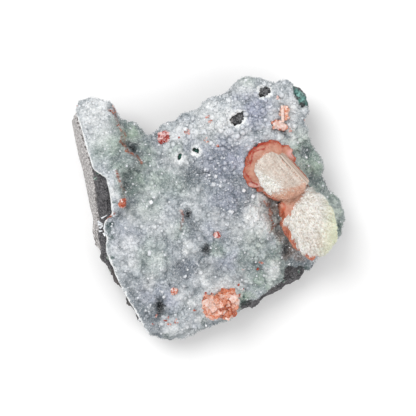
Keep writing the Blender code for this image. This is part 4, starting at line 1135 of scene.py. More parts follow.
def collar_swollen(points):
    """The collar drawn outwards in places, below the level of the block."""
    centre = np.array(COLLAR_CENTRE) * MM
    low = eased((43.0 * MM - points[:, 2]) / (2.0 * MM))
    moved = points.copy()
    for bx, by, radius, amount in COLLAR_BULGES:
        away = np.hypot(points[:, 0] - bx * MM, points[:, 1] - by * MM) / (radius * MM)
        moved[:, :2] += unit(points[:, :2] - centre) * (eased(1.4 - away) * low * amount * MM)[:, None]
    return moved


def sheaf_parts(points, out, block):
    """The parts of the pair's surface, from 0 to 1 at each place, and the noise that frays them."""
    x, y, z = points.T
    upper, angle, reach = fan_of(points)
    fan = round_fan(angle, reach * 0.16 + z * 0.2)
    fibres = rough(fan, 0.75 * MM, 3, seed=9)
    blades = rough(fan, 2.6 * MM, 2, seed=10)
    wander = rough(points, 1.5 * MM, 2, seed=12)
    ax, ay, _ = BLOCK_AXIS
    along = np.column_stack([x * ay - y * ax, (y * ay + x * ax) * 0.12, z * 0.5])
    jag = fibres * 0.9 * MM + blades * 0.6 * MM
    waist_fade = eased((line_distance(x, y, WAIST_EDGE) + jag) / (3.5 * MM))
    cream = eased((depth_inside(x, y, BLOCK_TOP) + jag * 0.4) / (0.5 * MM) + 0.6) * block
    waist_area = eased((depth_inside(x, y, WAIST_AREA) + jag) / (1.2 * MM) + 0.5)
    frost = eased((depth_inside(x, y, FROST) + jag) / (0.5 * MM) + 0.5)
    return SimpleNamespace(
        upper=upper, fibres=fibres, blades=blades, wander=wander, jag=jag, block=block, waist_fade=waist_fade,
        streaks=rough(along, 0.8 * MM, 3, seed=18),
        flakes=rough(points, 0.8 * MM, 3, seed=11),
        frost=frost * eased((out[:, 2] + 0.25) / 0.3),
        white=eased((depth_inside(x, y, BLOCK_WHITE) + jag * 2.4) / (3.6 * MM) + 0.6) * block,
        cream=cream * (0.45 + 0.55 * waist_fade),
        waist_area=waist_area * eased(out[:, 2] * 2.0),
        waist_line=eased(1.2 - (line_distance(x, y, WAIST_LINE) + wander * 0.5 * MM) / (0.6 * MM)),
        side=eased((0.75 - np.abs(out[:, 2])) / 0.3),
    )


def sheaf_relief(points, p, chance):
    """How far each place of the pair moves along its normal: ribs, flakes and streaks."""
    left = eased((44 * MM - points[:, 0]) / (6 * MM))
    foot = eased((34 * MM - points[:, 2]) / (3 * MM))
    shift = p.side * (p.blades * (0.05 + 0.5 * left) + p.fibres * 0.2) * MM
    shift += p.frost * (0.1 + 0.25 * p.flakes + 0.12 * p.fibres) * MM
    shift += p.block * (0.08 * p.streaks + 0.09 * p.flakes) * MM + p.white * (0.2 * p.flakes + 0.1) * MM
    shift += p.waist_area * 0.25 * p.fibres * MM
    shift += (1.0 - np.maximum(p.frost, p.cream)) * (1.0 - p.side) * 0.1 * p.fibres * MM
    shift += p.side * foot * 0.5 * MM
    return shift + chance.uniform(-0.02, 0.02, len(points)) * MM


def collar_threads(points, p):
    """Fine red threads inside the collar, broken up along their length."""
    thread = np.zeros(len(points))
    for line in COLLAR_STRINGS:
        away = np.abs(line_distance(points[:, 0], points[:, 1], line) + p.wander * 0.35 * MM)
        thread = np.maximum(thread, eased(PATCH_EDGE - away / (0.42 * MM)))
    return thread * (0.35 + 0.65 * eased(rough(points, 1.8 * MM, 1, seed=49) * 2.0 + 0.7))


def sheaf_marks(points, out, p):
    """What the pair's material reads: its parts, red margins and blotches, fibres, painted shade in the frost
    pits, and tints.
    """
    x, y, z = points.T
    low_wall = (np.abs(out[:, 2]) < 0.45) & (z > 32 * MM) & (z < 40 * MM)
    to_edge = nearest_of(points, points[low_wall & (depth_inside(x, y, BLOCK_TOP) < -1.5 * MM)])
    collar = p.upper * (1.0 - p.cream) * eased((z - 30 * MM) / (3 * MM))
    width = (0.4 + 0.8 * patches(x, y, TOP_RIM)) * MM
    rim = eased(1.25 - (to_edge + p.wander * 0.5 * MM) / width) * collar
    blotches = patches(x + p.wander * 0.6 * MM, y + p.wander * 0.5 * MM, RED_BLOTCHES)
    strings = eased(1.15 - np.abs(rough(points, 2.3 * MM, 2, seed=14)) / 0.2)
    band = eased(1.3 - line_distance(x, y, LEFT_BAND) / (3.4 * MM)) * (1.0 - p.frost)
    right = eased(1.3 - (line_distance(x, y, RIGHT_EDGE) + np.abs(p.blades) * 0.3 * MM) / (0.5 * MM))
    right *= eased((45 * MM - z) / MM)
    stripe = eased((depth_inside(x, y, BLOCK_SIDE) + 0.3 * p.jag) / (0.6 * MM) + 0.6)
    fine = rough(points, 0.7 * MM, 2, seed=47)
    bare = 1.0 - np.maximum(p.cream, p.frost)
    deep = np.maximum(blotches * strings, 0.9 * collar_threads(points, p)) * bare
    return {
        "cream": np.maximum(p.cream, p.frost),
        "white": np.maximum(p.white, p.frost * 0.8),
        "red": np.maximum.reduce([rim * 0.85, p.waist_line * 0.55, right]) * (1.0 - p.frost),
        "deep": deep + 0.3 * band * strings,
        "band": band * (1.0 - 0.5 * eased(p.blades * 3.0)),
        "lime": lime_of(points),
        "stripe": stripe * eased((z - 38 * MM) / MM),
        "fibre": 0.5 + np.where(p.block > 0.5, 0.35 * p.streaks + 0.45 * fine, 0.8 * p.fibres),
        "rimward": eased(1.0 - to_edge / (3.2 * MM)) * collar,
        "waist": p.waist_area * (1.0 - p.frost),
        "pink": patches(x, y, PINK_TIPS) * bare,
        # Painted shade in the pits of the frosting
        "hole": patches(x, y, FROST_PITS) * eased(1.6 * rough(points, 1.1 * MM, 2, seed=48) - 0.1),
        "flake": 0.5 + 0.7 * p.flakes,
        "peach": (1.0 - p.waist_fade) * p.block + eased(p.fibres * 2.0) * 0.3 * (1.0 - collar),
        "low": (38 * MM - z) / (8 * MM),
    }


def sheaf_piece():
    """The pair of sheaves: fibres that fan out from the waist, frosted tops and ribbed sides."""
    made = fine_copy("sheaf_crystal_pair", "sheaf_pair", SHEAF_VOXEL)
    mesh = made.data
    points = points_of(mesh)
    x, y, z = points.T
    block = eased(depth_inside(x, y, BLOCK_TOP) / (1.0 * MM) + 1.3) * eased((z - 42 * MM) / (2 * MM))
    points = relaxed(points, edges_of(mesh), SHEAF_SMOOTH_ROUNDS, hold=0.85 * block)
    points = collar_swollen(lower_rounded(points))
    put_points(mesh, points)
    out = normals_of(mesh)
    part = sheaf_parts(points, out, block)
    shift = sheaf_relief(points, part, np.random.default_rng(SEED + 2))
    put_points(mesh, points + out * shift[:, None])
    mark_all(mesh, sheaf_marks(points, out, part))
    mesh.materials.append(sheaf_material())
    return made, Surface(mesh, {
        "cream": part.cream, "frost": part.frost, "white": part.white, "block": part.block,
        "waist": part.waist_area * (1.0 - part.waist_line), "pits": patches(*points.T[:2], FROST_PITS),
    })


SIDE_BLADE_START = (32.9, 24.7)
SIDE_BLADE_END = (45.3, 11.2)
SIDE_BLADES = [
    (0.0, 46.9, 0.6, 0.0, 0.6, 0.4), (0.45, 46.6, 0.1, 1.2, 0.1, 0.3), (0.8, 46.1, 2.0, 0.1, 0.55, 0.3),
    (1.15, 45.3, 0.2, 2.2, 0.3, 0.34), (1.5, 44.2, 3.6, 0.4, 0.8, 0.3), (1.8, 42.8, 0.9, 4.4, 0.4, 0.34),
    (2.05, 41.2, 6.2, 1.0, 0.0, 0.3), (2.2, 39.6, 1.8, 7.4, 0.5, 0.3), (2.3, 37.8, 8.5, 1.4, 0.7, 0.3),
]
SIDE_BLADE_TILT = 0.03
SIDE_BLADE_SLANT = 0.3
SIDE_BLADE_CUT = 0.05
GROOVE_STRETCH = (1.0, 1.0, 0.12)
SIDE_BLADE_FOOT = 33.0
RUSTY_LINE = (2.35, 43.4, 3.4, 3.0, 0.14)


def side_blade_piece():
    """Long flat crystals in steps along the right side of the block, by turns pale and brown."""
    start, end = outline([SIDE_BLADE_START])[0], outline([SIDE_BLADE_END])[0]
    along = unit(end - start)
    outward = np.array([-along[1], along[0]])
    places, axes, sizes = [], [], []
    chance = np.random.default_rng(SEED + 12)
    line_away, line_height, line_start, line_end, line_thick = RUSTY_LINE
    rows = [(*row[:4], row[5], SIDE_BLADE_FOOT) for row in SIDE_BLADES]
    rows.append((line_away, line_height, line_start, line_end, line_thick, line_height - 0.5))
    for away, height, cut_start, cut_end, thick, foot in rows:
        first = start + along * cut_start * MM + outward * away * MM
        last = end - along * cut_end * MM + outward * away * MM
        length_axis = unit(np.array([*along, chance.normal(0.0, SIDE_BLADE_TILT)]))
        side = np.array([*outward, 0.0])
        slant = chance.uniform(-SIDE_BLADE_SLANT, SIDE_BLADE_SLANT)
        rise = unit(np.cross(length_axis, side) + slant * length_axis)
        half_height = (height - foot) / 2 * MM / rise[2]
        places.append(np.array([*(first + last) / 2, height * MM]) - rise * half_height)
        axes.append(np.array([length_axis, side, rise]).T)
        sizes.append((np.hypot(*(last - first)) / 2, thick * MM, half_height))
    tones = np.array([row[4] for row in SIDE_BLADES] + [0.0])
    marks = {"tone": tones, "rusty": np.where(np.arange(len(rows)) < len(SIDE_BLADES), 0.0, 1.0)}
    return joined(
        "sheaf_side_blades", blocky_crystal(SIDE_BLADE_CUT), np.array(axes), np.array(sizes),
        np.array(places), marks, blade_material(),
    )


FLAKES = {
    "long": {"count": 4600, "length": (0.9, 2.3), "width": (0.1, 0.26), "spread": 0.2, "tilt": (0.02, 0.26)},
    "short": {"count": 3400, "length": (0.4, 0.9), "width": (0.16, 0.4), "spread": 0.5, "tilt": (0.02, 0.5)},
    "feather": {"count": 900, "length": (1.2, 2.5), "width": (0.2, 0.45), "spread": 0.3, "tilt": (0.05, 0.4)},
    "edge": {"count": 500, "length": (0.6, 1.3), "width": (0.16, 0.34), "spread": 0.6, "tilt": (0.05, 0.5)},
    "grain": {"count": 4400, "length": (0.4, 1.1), "width": (0.12, 0.26), "spread": 0.45, "tilt": (0.0, 0.3)},
    "fibre": {"count": 800, "length": (0.9, 2.0), "width": (0.08, 0.18), "spread": 0.16, "tilt": (0.0, 0.15)},
}


def flakes_on(surface, weight, kind, chance):
    """Places, axes, sizes and marks of flat crystals laid along the fans of the pair."""
    form = FLAKES[kind]
    count = form["count"]
    numbers = chance.choice(len(weight), size=count, replace=True, p=weight / weight.sum())
    places = surface.points[numbers] + chance.normal(0.0, 0.15 * MM, (count, 3))
    normals = surface.normals[numbers]
    _, angle, _ = fan_of(places)
    along = np.column_stack([np.cos(angle), np.sin(angle), np.zeros(count)])
    on_block = surface.marks["block"][numbers] > 0.5
    along = np.where(on_block[:, None], np.array(BLOCK_AXIS)[None, :], along)
    along = along + chance.normal(0.0, form["spread"], along.shape)
    along = unit(along - np.sum(along * normals, axis=1, keepdims=True) * normals)
    along = unit(along + normals * chance.uniform(*form["tilt"], count)[:, None])
    across = unit(np.cross(normals, along))
    frames = np.stack([along, across, np.cross(along, across)], axis=2)
    reach = chance.uniform(*form["length"], count) * MM
    thick = chance.uniform(0.05, 0.12, count) * MM
    sizes = np.column_stack([reach, chance.uniform(*form["width"], count) * MM, thick])
    centres = places - normals * 0.12 * MM - along * (0.4 * reach)[:, None]
    white = np.maximum(surface.marks["frost"], surface.marks["white"])[numbers]
    peach = np.full(count, 1.0 if kind == "fibre" else 0.0)
    return frames, sizes, centres, white, peach


def frosting_piece(surface):
    """The frosting: flat white crystals along the fans, feathery at the left edge of the lower sheaf."""
    chance = np.random.default_rng(SEED + 3)
    marks = surface.marks
    facing = surface.normals[:, 2] > -0.25
    ragged = eased(rough(surface.points, 1.3 * MM, 2, seed=19) * 2.2 + 0.75)
    frost, white = marks["frost"], marks["white"]
    covered = frost * facing * (1.0 - marks["pits"] * (1.0 - ragged))
    weights = {
        "long": covered,
        "short": covered,
        "feather": frost * (1.0 - frost) * 4.0 * facing * (surface.points[:, 0] < 50 * MM),
        "edge": white * (1.0 - white) * 4.0 * facing,
        "grain": (white * 3.0 + marks["cream"]) * facing,
        "fibre": marks["waist"] * facing,
    }
    parts = [flakes_on(surface, weight, kind, chance) for kind, weight in weights.items()]
    frames, sizes, centres, white, peach = (np.concatenate(group) for group in zip(*parts))
    _, angle, reach = fan_of(centres)
    fan = round_fan(angle, reach * 0.3)
    tones = 0.55 + 0.55 * rough(fan, 1.3 * MM, 2, seed=50) + chance.uniform(-0.4, 0.4, len(centres))
    # Flakes in the frost pits made darker: painted shade
    tones -= 0.55 * eased(1.6 * rough(centres, 1.1 * MM, 2, seed=48)) * patches(*centres.T[:2], FROST_PITS)
    found = {"lime": lime_of(centres), "tone": tones, "white": white, "peach": peach}
    return joined("sheaf_frosting", blade(), frames, sizes, centres, found, frosting_material())


def sheaf_material():
    """Salmon and translucent below, cream to frosted white on top, red-orange along the margins."""
    n = Nodes("sheaf crystal")
    blotch = n.ranged(n.noise(2.4 * MM, 3.0), 0.35, 0.65)
    fibre, flake = n.marked("fibre"), n.marked("flake")
    peach = n.mixed(fibre, (176, 124, 100), (214, 180, 158))
    colour = n.layered(n.mixed(blotch, (178, 120, 98), (200, 150, 128)), [
        ("rimward", 0.75, n.mixed(blotch, (160, 78, 54), (186, 112, 90))),
        ("low", 0.4, (188, 104, 72)),
        ("band", 1.0, (188, 104, 70)),
        ("pink", 0.8, (224, 178, 172)),
        ("cream", 1.0, n.mixed(fibre, (160, 143, 130), (220, 210, 200))),
        ("waist", 0.8, peach),
        ("peach", 1.0, peach),
        ("stripe", 1.0, n.mixed(n.ranged(fibre, 0.35, 0.65), (150, 130, 118), (214, 202, 188))),
        ("white", 1.0, n.mixed(n.ranged(flake, 0.2, 0.7), (182, 172, 160), (236, 233, 226))),
        # Painted shade in the frost pits
        ("hole", 0.8, (150, 118, 106)),
        ("lime", 0.6, (216, 219, 184)),
        ("red", 1.0, (190, 76, 34)),
        ("deep", 1.0, (158, 30, 8)),
    ])
    return n.finish(
        Base_Color=colour,
        Roughness=n.ranged(n.marked("cream"), 0.0, 1.0, 0.2, 0.5),
        Subsurface_Weight=0.25,
        Subsurface_Radius=(0.0024, 0.0013, 0.001),
        IOR=1.5,
        Normal=n.bump(n.noise(0.4 * MM, 3.0, 0.6), 0.12 * MM, 0.5),
    )


def frosting_material():
    """White to cream flakes with a pearly gloss."""
    n = Nodes("pearly frosting")
    tone = n.marked("tone")
    colour = n.layered(n.mixed(tone, (186, 172, 160), (234, 228, 220)), [
        ("white", 1.0, n.mixed(tone, (188, 183, 172), (255, 255, 254))),
        ("peach", 1.0, n.mixed(tone, (180, 128, 106), (222, 186, 166))),
        ("lime", 0.7, (232, 237, 204)),
    ])
    speck = n.ranged(n.noise(1.1 * MM, 2.0), 0.62, 0.72, 0.0, 0.25)
    colour = n.mixed(speck, colour, (178, 158, 148))
    return n.finish(
        Base_Color=colour, Roughness=0.35, Subsurface_Weight=0.15,
        Subsurface_Radius=(0.001, 0.0008, 0.0006), IOR=1.5,
    )


def blade_material():
    """Silky flat crystals, cream to grey-brown, finely grooved along their length."""
    n = Nodes("silky blades")
    groove = n.noise(0.6 * MM, 3.0, 0.6, stretch=GROOVE_STRETCH)
    colour = n.mixed(n.marked("tone"), (142, 122, 108), (222, 210, 198))
    colour = n.mixed(n.ranged(groove, 0.4, 0.7, 0.0, 0.3), colour, (196, 164, 146))
    level = n.put("ShaderNodeSeparateXYZ", {"Vector": n.place()}).outputs["Z"]
    salmon = n.mixed(n.ranged(groove, 0.36, 0.64), (166, 92, 66), (208, 150, 126))
    colour = n.mixed(n.ranged(level, 45.0 * MM, 38.5 * MM, 0.0, 0.85), colour, salmon)
    patchy = n.ranged(n.noise(1.5 * MM, 3.0, 0.6), 0.42, 0.56)
    colour = n.mixed(n.maths("MULTIPLY", n.marked("rusty"), patchy), colour, (178, 72, 34))
    return n.finish(Base_Color=colour, Roughness=0.3, IOR=1.5, Normal=n.bump(groove, 0.15 * MM, 0.6))


# Red crystals

CLUSTER_BLOCKS = [
    (0.9, -43.4, 3.6, 0.78), (2.8, -45.4, 3.2, 0.72), (4.8, -48.4, 2.8, 0.46), (5.6, -42.6, 2.4, 0.45),
    (2.4, -41.9, 2.6, 0.7), (-1.2, -42.6, 1.4, 0.2), (12.0, -41.0, 3.4, 0.8), (13.6, -42.4, 2.2, 0.95),
    (12.2, -43.8, 2.5, 0.46), (8.9, -39.8, 2.8, 0.62), (8.4, -38.4, 1.6, 0.25), (10.4, -38.6, 1.6, 0.4),
    (8.5, -42.6, 2.2, 0.3), (10.3, -44.3, 2.0, 0.1), (6.8, -44.2, 2.4, 0.55), (7.7, -45.9, 1.8, 0.2),
    (9.3, -48.2, 2.8, 0.16), (10.9, -47.0, 2.4, 0.25), (8.4, -46.8, 1.4, 0.75), (9.9, -50.2, 1.8, 0.8),
    (4.4, -45.6, 2.0, 0.6), (1.0, -46.6, 1.8, 0.65), (6.6, -40.6, 1.6, 0.5),
]
FILL_BLOCKS = 170
CRYSTAL_CUT = 0.14
CLUSTER_PART = 0.84
DEEP_BLOCKS = 260
DEEP_IN_GROUP = 50
DEEP_SPAN = (0.7, 1.3)
GROUPS = {
    "small_crystals_upper_left": {"pale": 0.5, "pink": 1.0, "count": 60, "size": (0.5, 1.4), "part": 0.74},
    "small_crystals_lower": {"pale": 0.55, "pink": 0.4, "count": 36, "size": (0.4, 1.1), "part": 0.46},
    "small_crystals_centre": {"pale": 0.7, "pink": 0.8, "count": 36, "size": (0.4, 1.1), "part": 0.52},
    "small_crystals_left": {"pale": 0.2, "pink": 0.3, "count": 40, "size": (0.5, 1.3), "part": 0.68},
}
GROUP_DEEP_SHARE = 0.85
LENS_NODE = "small_crystals_mid_right"
LENS_AXES = (3.5, 2.0, -0.25)
LENS_CRYSTALS = 96
LENS_IN_RING = 44
LENS_DEEP_PART = 0.8
LONG_BLADE_NODE = "small_crystals_right"
LONG_BLADE = (3.9, 0.62, 0.9)
LONG_BLADE_SHIFT = (-0.9, -0.6)
LONG_BLADE_TURN = 1.62
LONG_BLADE_COMPANIONS = 46
LONG_BLADE_DEEP_PART = 0.8
SCATTERED = [
    (-8.5, 35.6, 1.6, 9, 0.7), (0.7, 42.1, 1.0, 5, 0.4), (2.1, 40.2, 0.8, 4, 0.3), (0.3, 31.5, 1.0, 4, 0.5),
    (-59.2, 46.7, 1.0, 5, 0.5), (-18.6, -51.1, 1.4, 7, 0.1), (-24.6, -53.4, 0.7, 3, 0.2),
    (-16.8, -53.4, 0.8, 4, 0.3), (-5.3, -46.9, 0.6, 3, 0.2), (25.6, -24.8, 0.8, 4, 0.2),
    (23.8, -27.6, 0.8, 4, 0.2), (16.9, -28.0, 0.5, 2, 0.3), (15.0, -34.9, 0.6, 4, 0.1),
    (16.9, -36.8, 0.6, 3, 0.1), (-0.2, -39.1, 0.8, 4, 0.1), (2.6, -39.1, 0.7, 4, 0.1),
    (15.0, -39.6, 1.1, 7, 0.4), (-23.3, -48.8, 0.9, 5, 0.1), (-43.1, 47.2, 1.3, 9, 0.4),
    (-14.5, -52.0, 0.8, 4, 0.4), (32.6, 50.9, 1.0, 8, 0.8), (38.6, 36.4, 0.7, 5, 0.4),
    (45.0, 41.0, 0.6, 3, 0.5), (-12.4, 33.2, 0.4, 2, 0.2), (5.6, 29.4, 0.7, 3, 0.3),
]


def crystals(name, places, sizes, tones, chance, tilt, pink, normals=None):
    """Blocky crystals with cut corners, upright unless normals are given, joined in one mesh."""
    count = len(places)
    frames = frames_about(upright(count) if normals is None else np.array(normals), chance, tilt)
    axes = np.array(sizes)[:, None] * chance.uniform(0.72, 1.12, (count, 3)) * 0.5
    marks = {"tone": np.array(tones), "pink": pink * np.ones(count)}
    return joined(name, blocky_crystal(CRYSTAL_CUT), frames, axes, np.array(places), marks, red_material())


def upright(count):
    """The upward axis for each of a number of pieces."""
    return np.tile((0.0, 0.0, 1.0), (count, 1))


def met_from_above(search, x, y):
    """Where a line straight down first meets a mesh, or None."""
    return search.ray_cast(Vector((x, y, SKY)), Vector((0, 0, -1)))[0]


def settled_height(search, x, y, otherwise):
    """The height of a mesh at a place seen from above, or another height beside it."""
    hit = met_from_above(search, x, y)
    return hit.z if hit else otherwise


class Seat:
    """A packed group of crystals: its middle, half its span, its top, and a search over its faces."""

    def __init__(self, node):
        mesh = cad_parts[node].data
        points = points_of(mesh)
        low, high = points.min(axis=0), points.max(axis=0)
        self.middle = (low + high) / 2
        self.half = (high - low) / 2
        self.top = high[2]
        self.search = searched(mesh)

    def spot(self, part, chance):
        """A random place over the middle part of the group."""
        return self.middle[:2] + self.half[:2] * part * chance.uniform(-1.0, 1.0, 2)

    def strewn(self, part, span, sink, chance):
        """Crystals set on the group's top, one after another: the place and size of each."""
        while True:
            hit = met_from_above(self.search, *self.spot(part, chance))
            if hit is not None:
                size = chance.uniform(*span)
                yield (hit.x, hit.y, hit.z - size * chance.uniform(*sink) * MM), size * MM

    def within(self, count, span, part, chance):
        """Places and sizes of crystals through the depth of the group, over its middle part."""
        places, sizes = [], []
        while len(places) < count:
            x, y = self.spot(part, chance)
            top = met_from_above(self.search, x, y)
            under = self.search.ray_cast(Vector((x, y, 0.0)), Vector((0, 0, 1)))[0]
            if top is None or under is None:
                continue
            size = chance.uniform(*span) * MM
            places.append((x, y, chance.uniform(under.z, max(under.z, top.z - 0.5 * size))))
            sizes.append(size)
        return places, sizes


def red_cluster_piece():
    """The cluster at the lower edge: large blocks at given places, and many small ones between them."""
    chance = np.random.default_rng(SEED + 6)
    seat = Seat("red_crystal_cluster")
    blocks = outline(CLUSTER_BLOCKS)
    places, sizes, tones = [], [], []
    for (x, y), (_, _, size, tone) in zip(blocks, CLUSTER_BLOCKS):
        places.append((x, y, settled_height(seat.search, x, y, seat.top - 4 * MM) - size * 0.28 * MM))
        sizes.append(size * 1.12 * MM)
        tones.append(tone + 0.08)

    def tone_beside(place, share, middle, spread):
        """A tone like that of the nearest large block."""
        near = np.argmin(np.hypot(blocks[:, 0] - place[0], blocks[:, 1] - place[1]))
        return np.clip(share * CLUSTER_BLOCKS[near][3] + chance.normal(middle, spread), 0.0, 1.0)

    fill = seat.strewn(CLUSTER_PART, (0.8, 2.0), (0.0, 0.4), chance)
    while len(places) < FILL_BLOCKS:
        place, size = next(fill)
        places.append(place)
        sizes.append(size)
        tones.append(tone_beside(place, 1.0, 0.08, 0.15))
    deep_places, deep_sizes = seat.within(DEEP_BLOCKS, (1.4, 2.4), CLUSTER_PART, chance)
    tones += [tone_beside(place, 0.8, 0.06, 0.12) for place in deep_places]
    return crystals("red_cluster", places + deep_places, sizes + deep_sizes, tones, chance, 0.42, 0.1)


def group_piece(node, form, seed):
    """A small group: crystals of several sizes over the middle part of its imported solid."""
    chance = np.random.default_rng(seed)
    seat = Seat(node)
    count = form["count"]
    strewn = list(itertools.islice(seat.strewn(form["part"], form["size"], (0.1, 0.5), chance), count))
    pale = chance.uniform(0.0, 1.0, count) < form["pale"]
    tones = np.clip(np.where(pale, 0.88, 0.12) + chance.normal(0.0, 0.14, count), 0.0, 1.0)
    deep_places, deep_sizes = seat.within(DEEP_IN_GROUP, DEEP_SPAN, form["part"] * GROUP_DEEP_SHARE, chance)
    tones = np.concatenate([tones, chance.uniform(0.15, 0.6, DEEP_IN_GROUP)])
    places = [place for place, _ in strewn] + deep_places
    sizes = [size for _, size in strewn] + deep_sizes
    name = node.replace("small_crystals", "small_group")
    return crystals(name, places, sizes, tones, chance, 0.5, form["pink"])


def lens_piece():
    """The oval group: a cream lens of grown-together crystals in a ring of red-brown ones."""
    chance = np.random.default_rng(SEED + 30)
    seat = Seat(LENS_NODE)
    long, short, turn = LENS_AXES
    places, sizes, tones = [], [], []
    for number in range(LENS_CRYSTALS):
        ring = number < LENS_IN_RING
        angle = chance.uniform(0.0, 2.0 * math.pi)
        reach = chance.uniform(0.9, 1.08) if ring else 0.8 * math.sqrt(chance.uniform())
        dx, dy = long * reach * math.cos(angle) * MM, short * reach * math.sin(angle) * MM
        x = seat.middle[0] + dx * math.cos(turn) - dy * math.sin(turn)
        y = seat.middle[1] + dx * math.sin(turn) + dy * math.cos(turn)
        size = chance.uniform(0.5, 1.0) if ring else chance.uniform(0.9, 1.7)
        dome_drop = reach * reach * 0.9 * MM
        level = settled_height(seat.search, x, y, seat.top - 2.2 * MM)
        places.append((x, y, max(level, seat.top - 1.2 * MM - dome_drop) - 0.3 * size * MM))
        sizes.append(size * MM)
        tones.append(chance.uniform(0.2, 0.6) if ring else chance.uniform(0.85, 1.0))
    deep_places, deep_sizes = seat.within(DEEP_IN_GROUP, DEEP_SPAN, LENS_DEEP_PART, chance)
    tones += chance.uniform(0.2, 0.6, DEEP_IN_GROUP).tolist()
    return crystals(
        "small_group_mid_right", places + deep_places, sizes + deep_sizes, tones, chance, 0.25, 0.15
    )


def long_blade_piece():
    """A long cream blade with peach crystals along its right side."""
    chance = np.random.default_rng(SEED + 31)
    seat = Seat(LONG_BLADE_NODE)
    half_length, half_width, half_height = (value * MM for value in LONG_BLADE)
    along = np.array([math.cos(LONG_BLADE_TURN), math.sin(LONG_BLADE_TURN), 0.0])
    across = np.array([along[1], -along[0], 0.0])
    shift_x, shift_y = LONG_BLADE_SHIFT
    places = [(seat.middle[0] + shift_x * MM, seat.middle[1] + shift_y * MM, seat.top - 0.6 * MM)]
    frames = [np.array([along, across, (0.0, 0.0, 1.0)]).T]
    sizes, tones = [(half_length, half_width, half_height)], [0.97]
    start = np.array(places[0])
    for _ in range(LONG_BLADE_COMPANIONS):
        spot = start + along * chance.uniform(-0.7, 0.9) * half_length
        spot = spot + across * chance.uniform(0.9, 4.2) * half_width
        level = settled_height(seat.search, spot[0], spot[1], seat.top - 1.6 * MM)
        size = chance.uniform(0.3, 0.75) * MM
        places.append((spot[0], spot[1], level - 0.3 * size))
        frames.append(frames_about(upright(1), chance, 0.4)[0])
        sizes.append(size * chance.uniform(0.7, 1.1, 3))
        tones.append(chance.uniform(0.4, 0.95))
    for place, size in zip(*seat.within(DEEP_IN_GROUP, DEEP_SPAN, LONG_BLADE_DEEP_PART, chance)):
        places.append(place)
        frames.append(frames_about(upright(1), chance, 0.4)[0])
        sizes.append(0.5 * size * chance.uniform(0.7, 1.1, 3))
        tones.append(chance.uniform(0.4, 0.8))
    marks = {"tone": np.array(tones), "pink": np.zeros(len(tones))}
    return joined(
        "small_group_right", blocky_crystal(CRYSTAL_CUT), np.array(frames), np.array(sizes),
        np.array(places), marks, red_material(),
    )


def scattered_piece(crust):
    """Single small crystals on the crust, and rust-coloured grains along its seams."""
    chance = np.random.default_rng(SEED + 8)
    search = searched(crust.data)
    places, normals, sizes, tones, rosy = [], [], [], [], []

    def drop(x, y, size, tone, pink):
        """One crystal let down on the crust."""
        hit, normal, _, _ = search.ray_cast(Vector((x, y, SKY)), Vector((0, 0, -1)))
        if hit is not None:
            places.append(hit + normal * (0.3 * MM))
            normals.append(normal)
            sizes.append(size)
            tones.append(min(1.0, max(0.0, tone)))
            rosy.append(pink)

    for x, y, spread, count, tone in SCATTERED:
        for _ in range(count):
            dx, dy = chance.normal(0.0, 0.5 * spread * MM, 2)
            size = chance.uniform(0.35, 0.8) * MM
            drop(x * MM + dx, y * MM + dy, size, tone + chance.normal(0.15, 0.3), 0.6)
    for line, width, _, grains in SEAMS:
        ends = outline(line)
        lengths = np.hypot(*np.diff(ends, axis=0).T)
        for _ in range(grains):
            part = chance.choice(len(lengths), p=lengths / lengths.sum())
            x, y = ends[part] + (ends[part + 1] - ends[part]) * chance.uniform()
            dx, dy = chance.normal(0.0, 0.5 * width * MM, 2)
            drop(x + dx, y + dy, chance.uniform(0.22, 0.48) * MM, chance.uniform(-0.2, 0.45), 0.1)
    return crystals("scattered_red_crystals", places, sizes, tones, chance, 0.5, np.array(rosy), normals)


def red_material():
    """Orange-red to pale pink crystal, translucent, each crystal with a tone of its own."""
    if "red crystal" in bpy.data.materials:
        return bpy.data.materials["red crystal"]
    n = Nodes("red crystal")
    cloud = n.ranged(n.noise(1.2 * MM, 3.0, 0.6), 0.35, 0.65, -0.24, 0.24)
    shade = n.maths("ADD", n.marked("tone"), cloud)
    colour = n.mixed(n.ranged(shade, 0.0, 0.35), (160, 68, 32), (220, 132, 90))
    colour = n.mixed(n.ranged(shade, 0.35, 0.65), colour, (233, 182, 158))
    colour = n.mixed(n.ranged(shade, 0.65, 1.0), colour, (240, 218, 208))
    vein = n.ranged(n.noise(0.7 * MM, 2.0, 0.6), 0.54, 0.66, 0.0, 0.55)
    colour = n.mixed(vein, colour, (246, 226, 218))
    stain = n.ranged(n.noise(0.9 * MM, 3.0, 0.6, distortion=0.6), 0.46, 0.34, 0.0, 0.5)
    colour = n.mixed(stain, colour, (186, 84, 48))
    rosy = n.mixed(n.ranged(shade, 0.0, 0.4), (158, 54, 48), (200, 104, 96))
    rosy = n.mixed(n.ranged(shade, 0.4, 0.95), rosy, (246, 214, 212))
    colour = n.mixed(n.marked("pink"), colour, rosy)
    relief = n.bump(n.noise(0.5 * MM, 3.0, 0.6), 0.1 * MM, 0.5)
    return n.finish(
        Base_Color=colour,
        Roughness=0.18,
        Subsurface_Weight=0.15,
        Subsurface_Radius=(0.0025, 0.0012, 0.0008),
        Transmission_Weight=0.12,
        IOR=1.535,
        Normal=relief,
    )


# Stage

WORLD_STRENGTH = 0.78
LIGHTS = [("key", (-0.34, 0.36, 0.9), 0.6, 4.8), ("fill", (0.5, -0.2, 0.8), 0.6, 1.2)]


def floor_piece():
    """The white floor."""
    bpy.ops.mesh.primitive_plane_add(size=8.0, location=(0, 0, 0))
    floor = bpy.context.object
    floor.name = "floor"
    n = Nodes("floor")
    floor.data.materials.append(n.finish(Base_Color=srgb(250, 250, 250), Roughness=0.9))


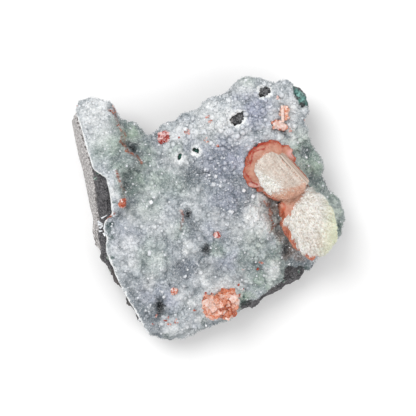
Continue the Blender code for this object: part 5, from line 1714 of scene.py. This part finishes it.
def room_light():
    """A bright, even room with two soft lights."""
    world = bpy.data.worlds.new("soft room")
    world.use_nodes = True
    world.node_tree.nodes["Background"].inputs["Color"].default_value = (1.0, 1.0, 1.0, 1.0)
    world.node_tree.nodes["Background"].inputs["Strength"].default_value = WORLD_STRENGTH
    bpy.context.scene.world = world
    for name, place, size, watts in LIGHTS:
        light = bpy.data.lights.new(name, "AREA")
        light.shape = "DISK"
        light.size = size
        light.energy = watts
        lamp = bpy.data.objects.new(name, light)
        lamp.location = place
        lamp.rotation_mode = "QUATERNION"
        lamp.rotation_quaternion = (-Vector(place)).to_track_quat("-Z", "Y")
        bpy.context.scene.collection.objects.link(lamp)


def camera_above():
    """The camera, which looks straight down."""
    lens = bpy.data.cameras.new("camera")
    lens.sensor_width = CAMERA_SENSOR
    lens.lens = CAMERA_LENS
    lens.clip_start = 0.01
    camera = bpy.data.objects.new("camera", lens)
    camera.location = CAMERA_PLACE
    bpy.context.scene.collection.objects.link(camera)
    bpy.context.scene.camera = camera
    bpy.context.scene.view_settings.view_transform = "Standard"


def settle(made, slot, *nodes):
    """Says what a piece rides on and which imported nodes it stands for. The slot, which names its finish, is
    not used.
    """
    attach(made, "root")
    if nodes:
        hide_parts(*nodes)
    triangles = len(made.data.loops) - 2 * len(made.data.polygons)
    print(f"{made.name}: {triangles} triangles")


def main():
    """All the pieces, each settled on the specimen, in a fixed order."""
    floor_piece()
    room_light()
    camera_above()
    sheaf, fan = sheaf_piece()
    settle(sheaf, "sheaf_crystal", "sheaf_crystal_pair")
    settle(frosting_piece(fan), "sheaf_crystal")
    settle(side_blade_piece(), "sheaf_crystal")
    held = [sheaf.data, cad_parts["red_crystal_cluster"].data]
    held += [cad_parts[node].data for node in (*GROUPS, LENS_NODE, LONG_BLADE_NODE)]
    crust, ground = crust_piece(held)
    settle(crust, "chalcedony", "chalcedony_crust")
    settle(bead_piece("crust_beads_large", ground, LARGE_BEADS, SEED + 3), "chalcedony")
    settle(bead_piece("crust_beads_small", ground, SMALL_BEADS, SEED + 4), "chalcedony")
    settle(druse_piece(ground), "chalcedony")
    settle(sparkle_piece(ground), "chalcedony")
    settle(basalt_piece(), "basalt", "basalt_matrix")
    settle(red_cluster_piece(), "red_crystal", "red_crystal_cluster")
    for number, (node, form) in enumerate(GROUPS.items()):
        settle(group_piece(node, form, SEED + 20 + number), "red_crystal", node)
    settle(lens_piece(), "red_crystal", LENS_NODE)
    settle(long_blade_piece(), "red_crystal", LONG_BLADE_NODE)
    settle(shard_piece(), "chalcedony")
    settle(scattered_piece(crust), "red_crystal")


main()
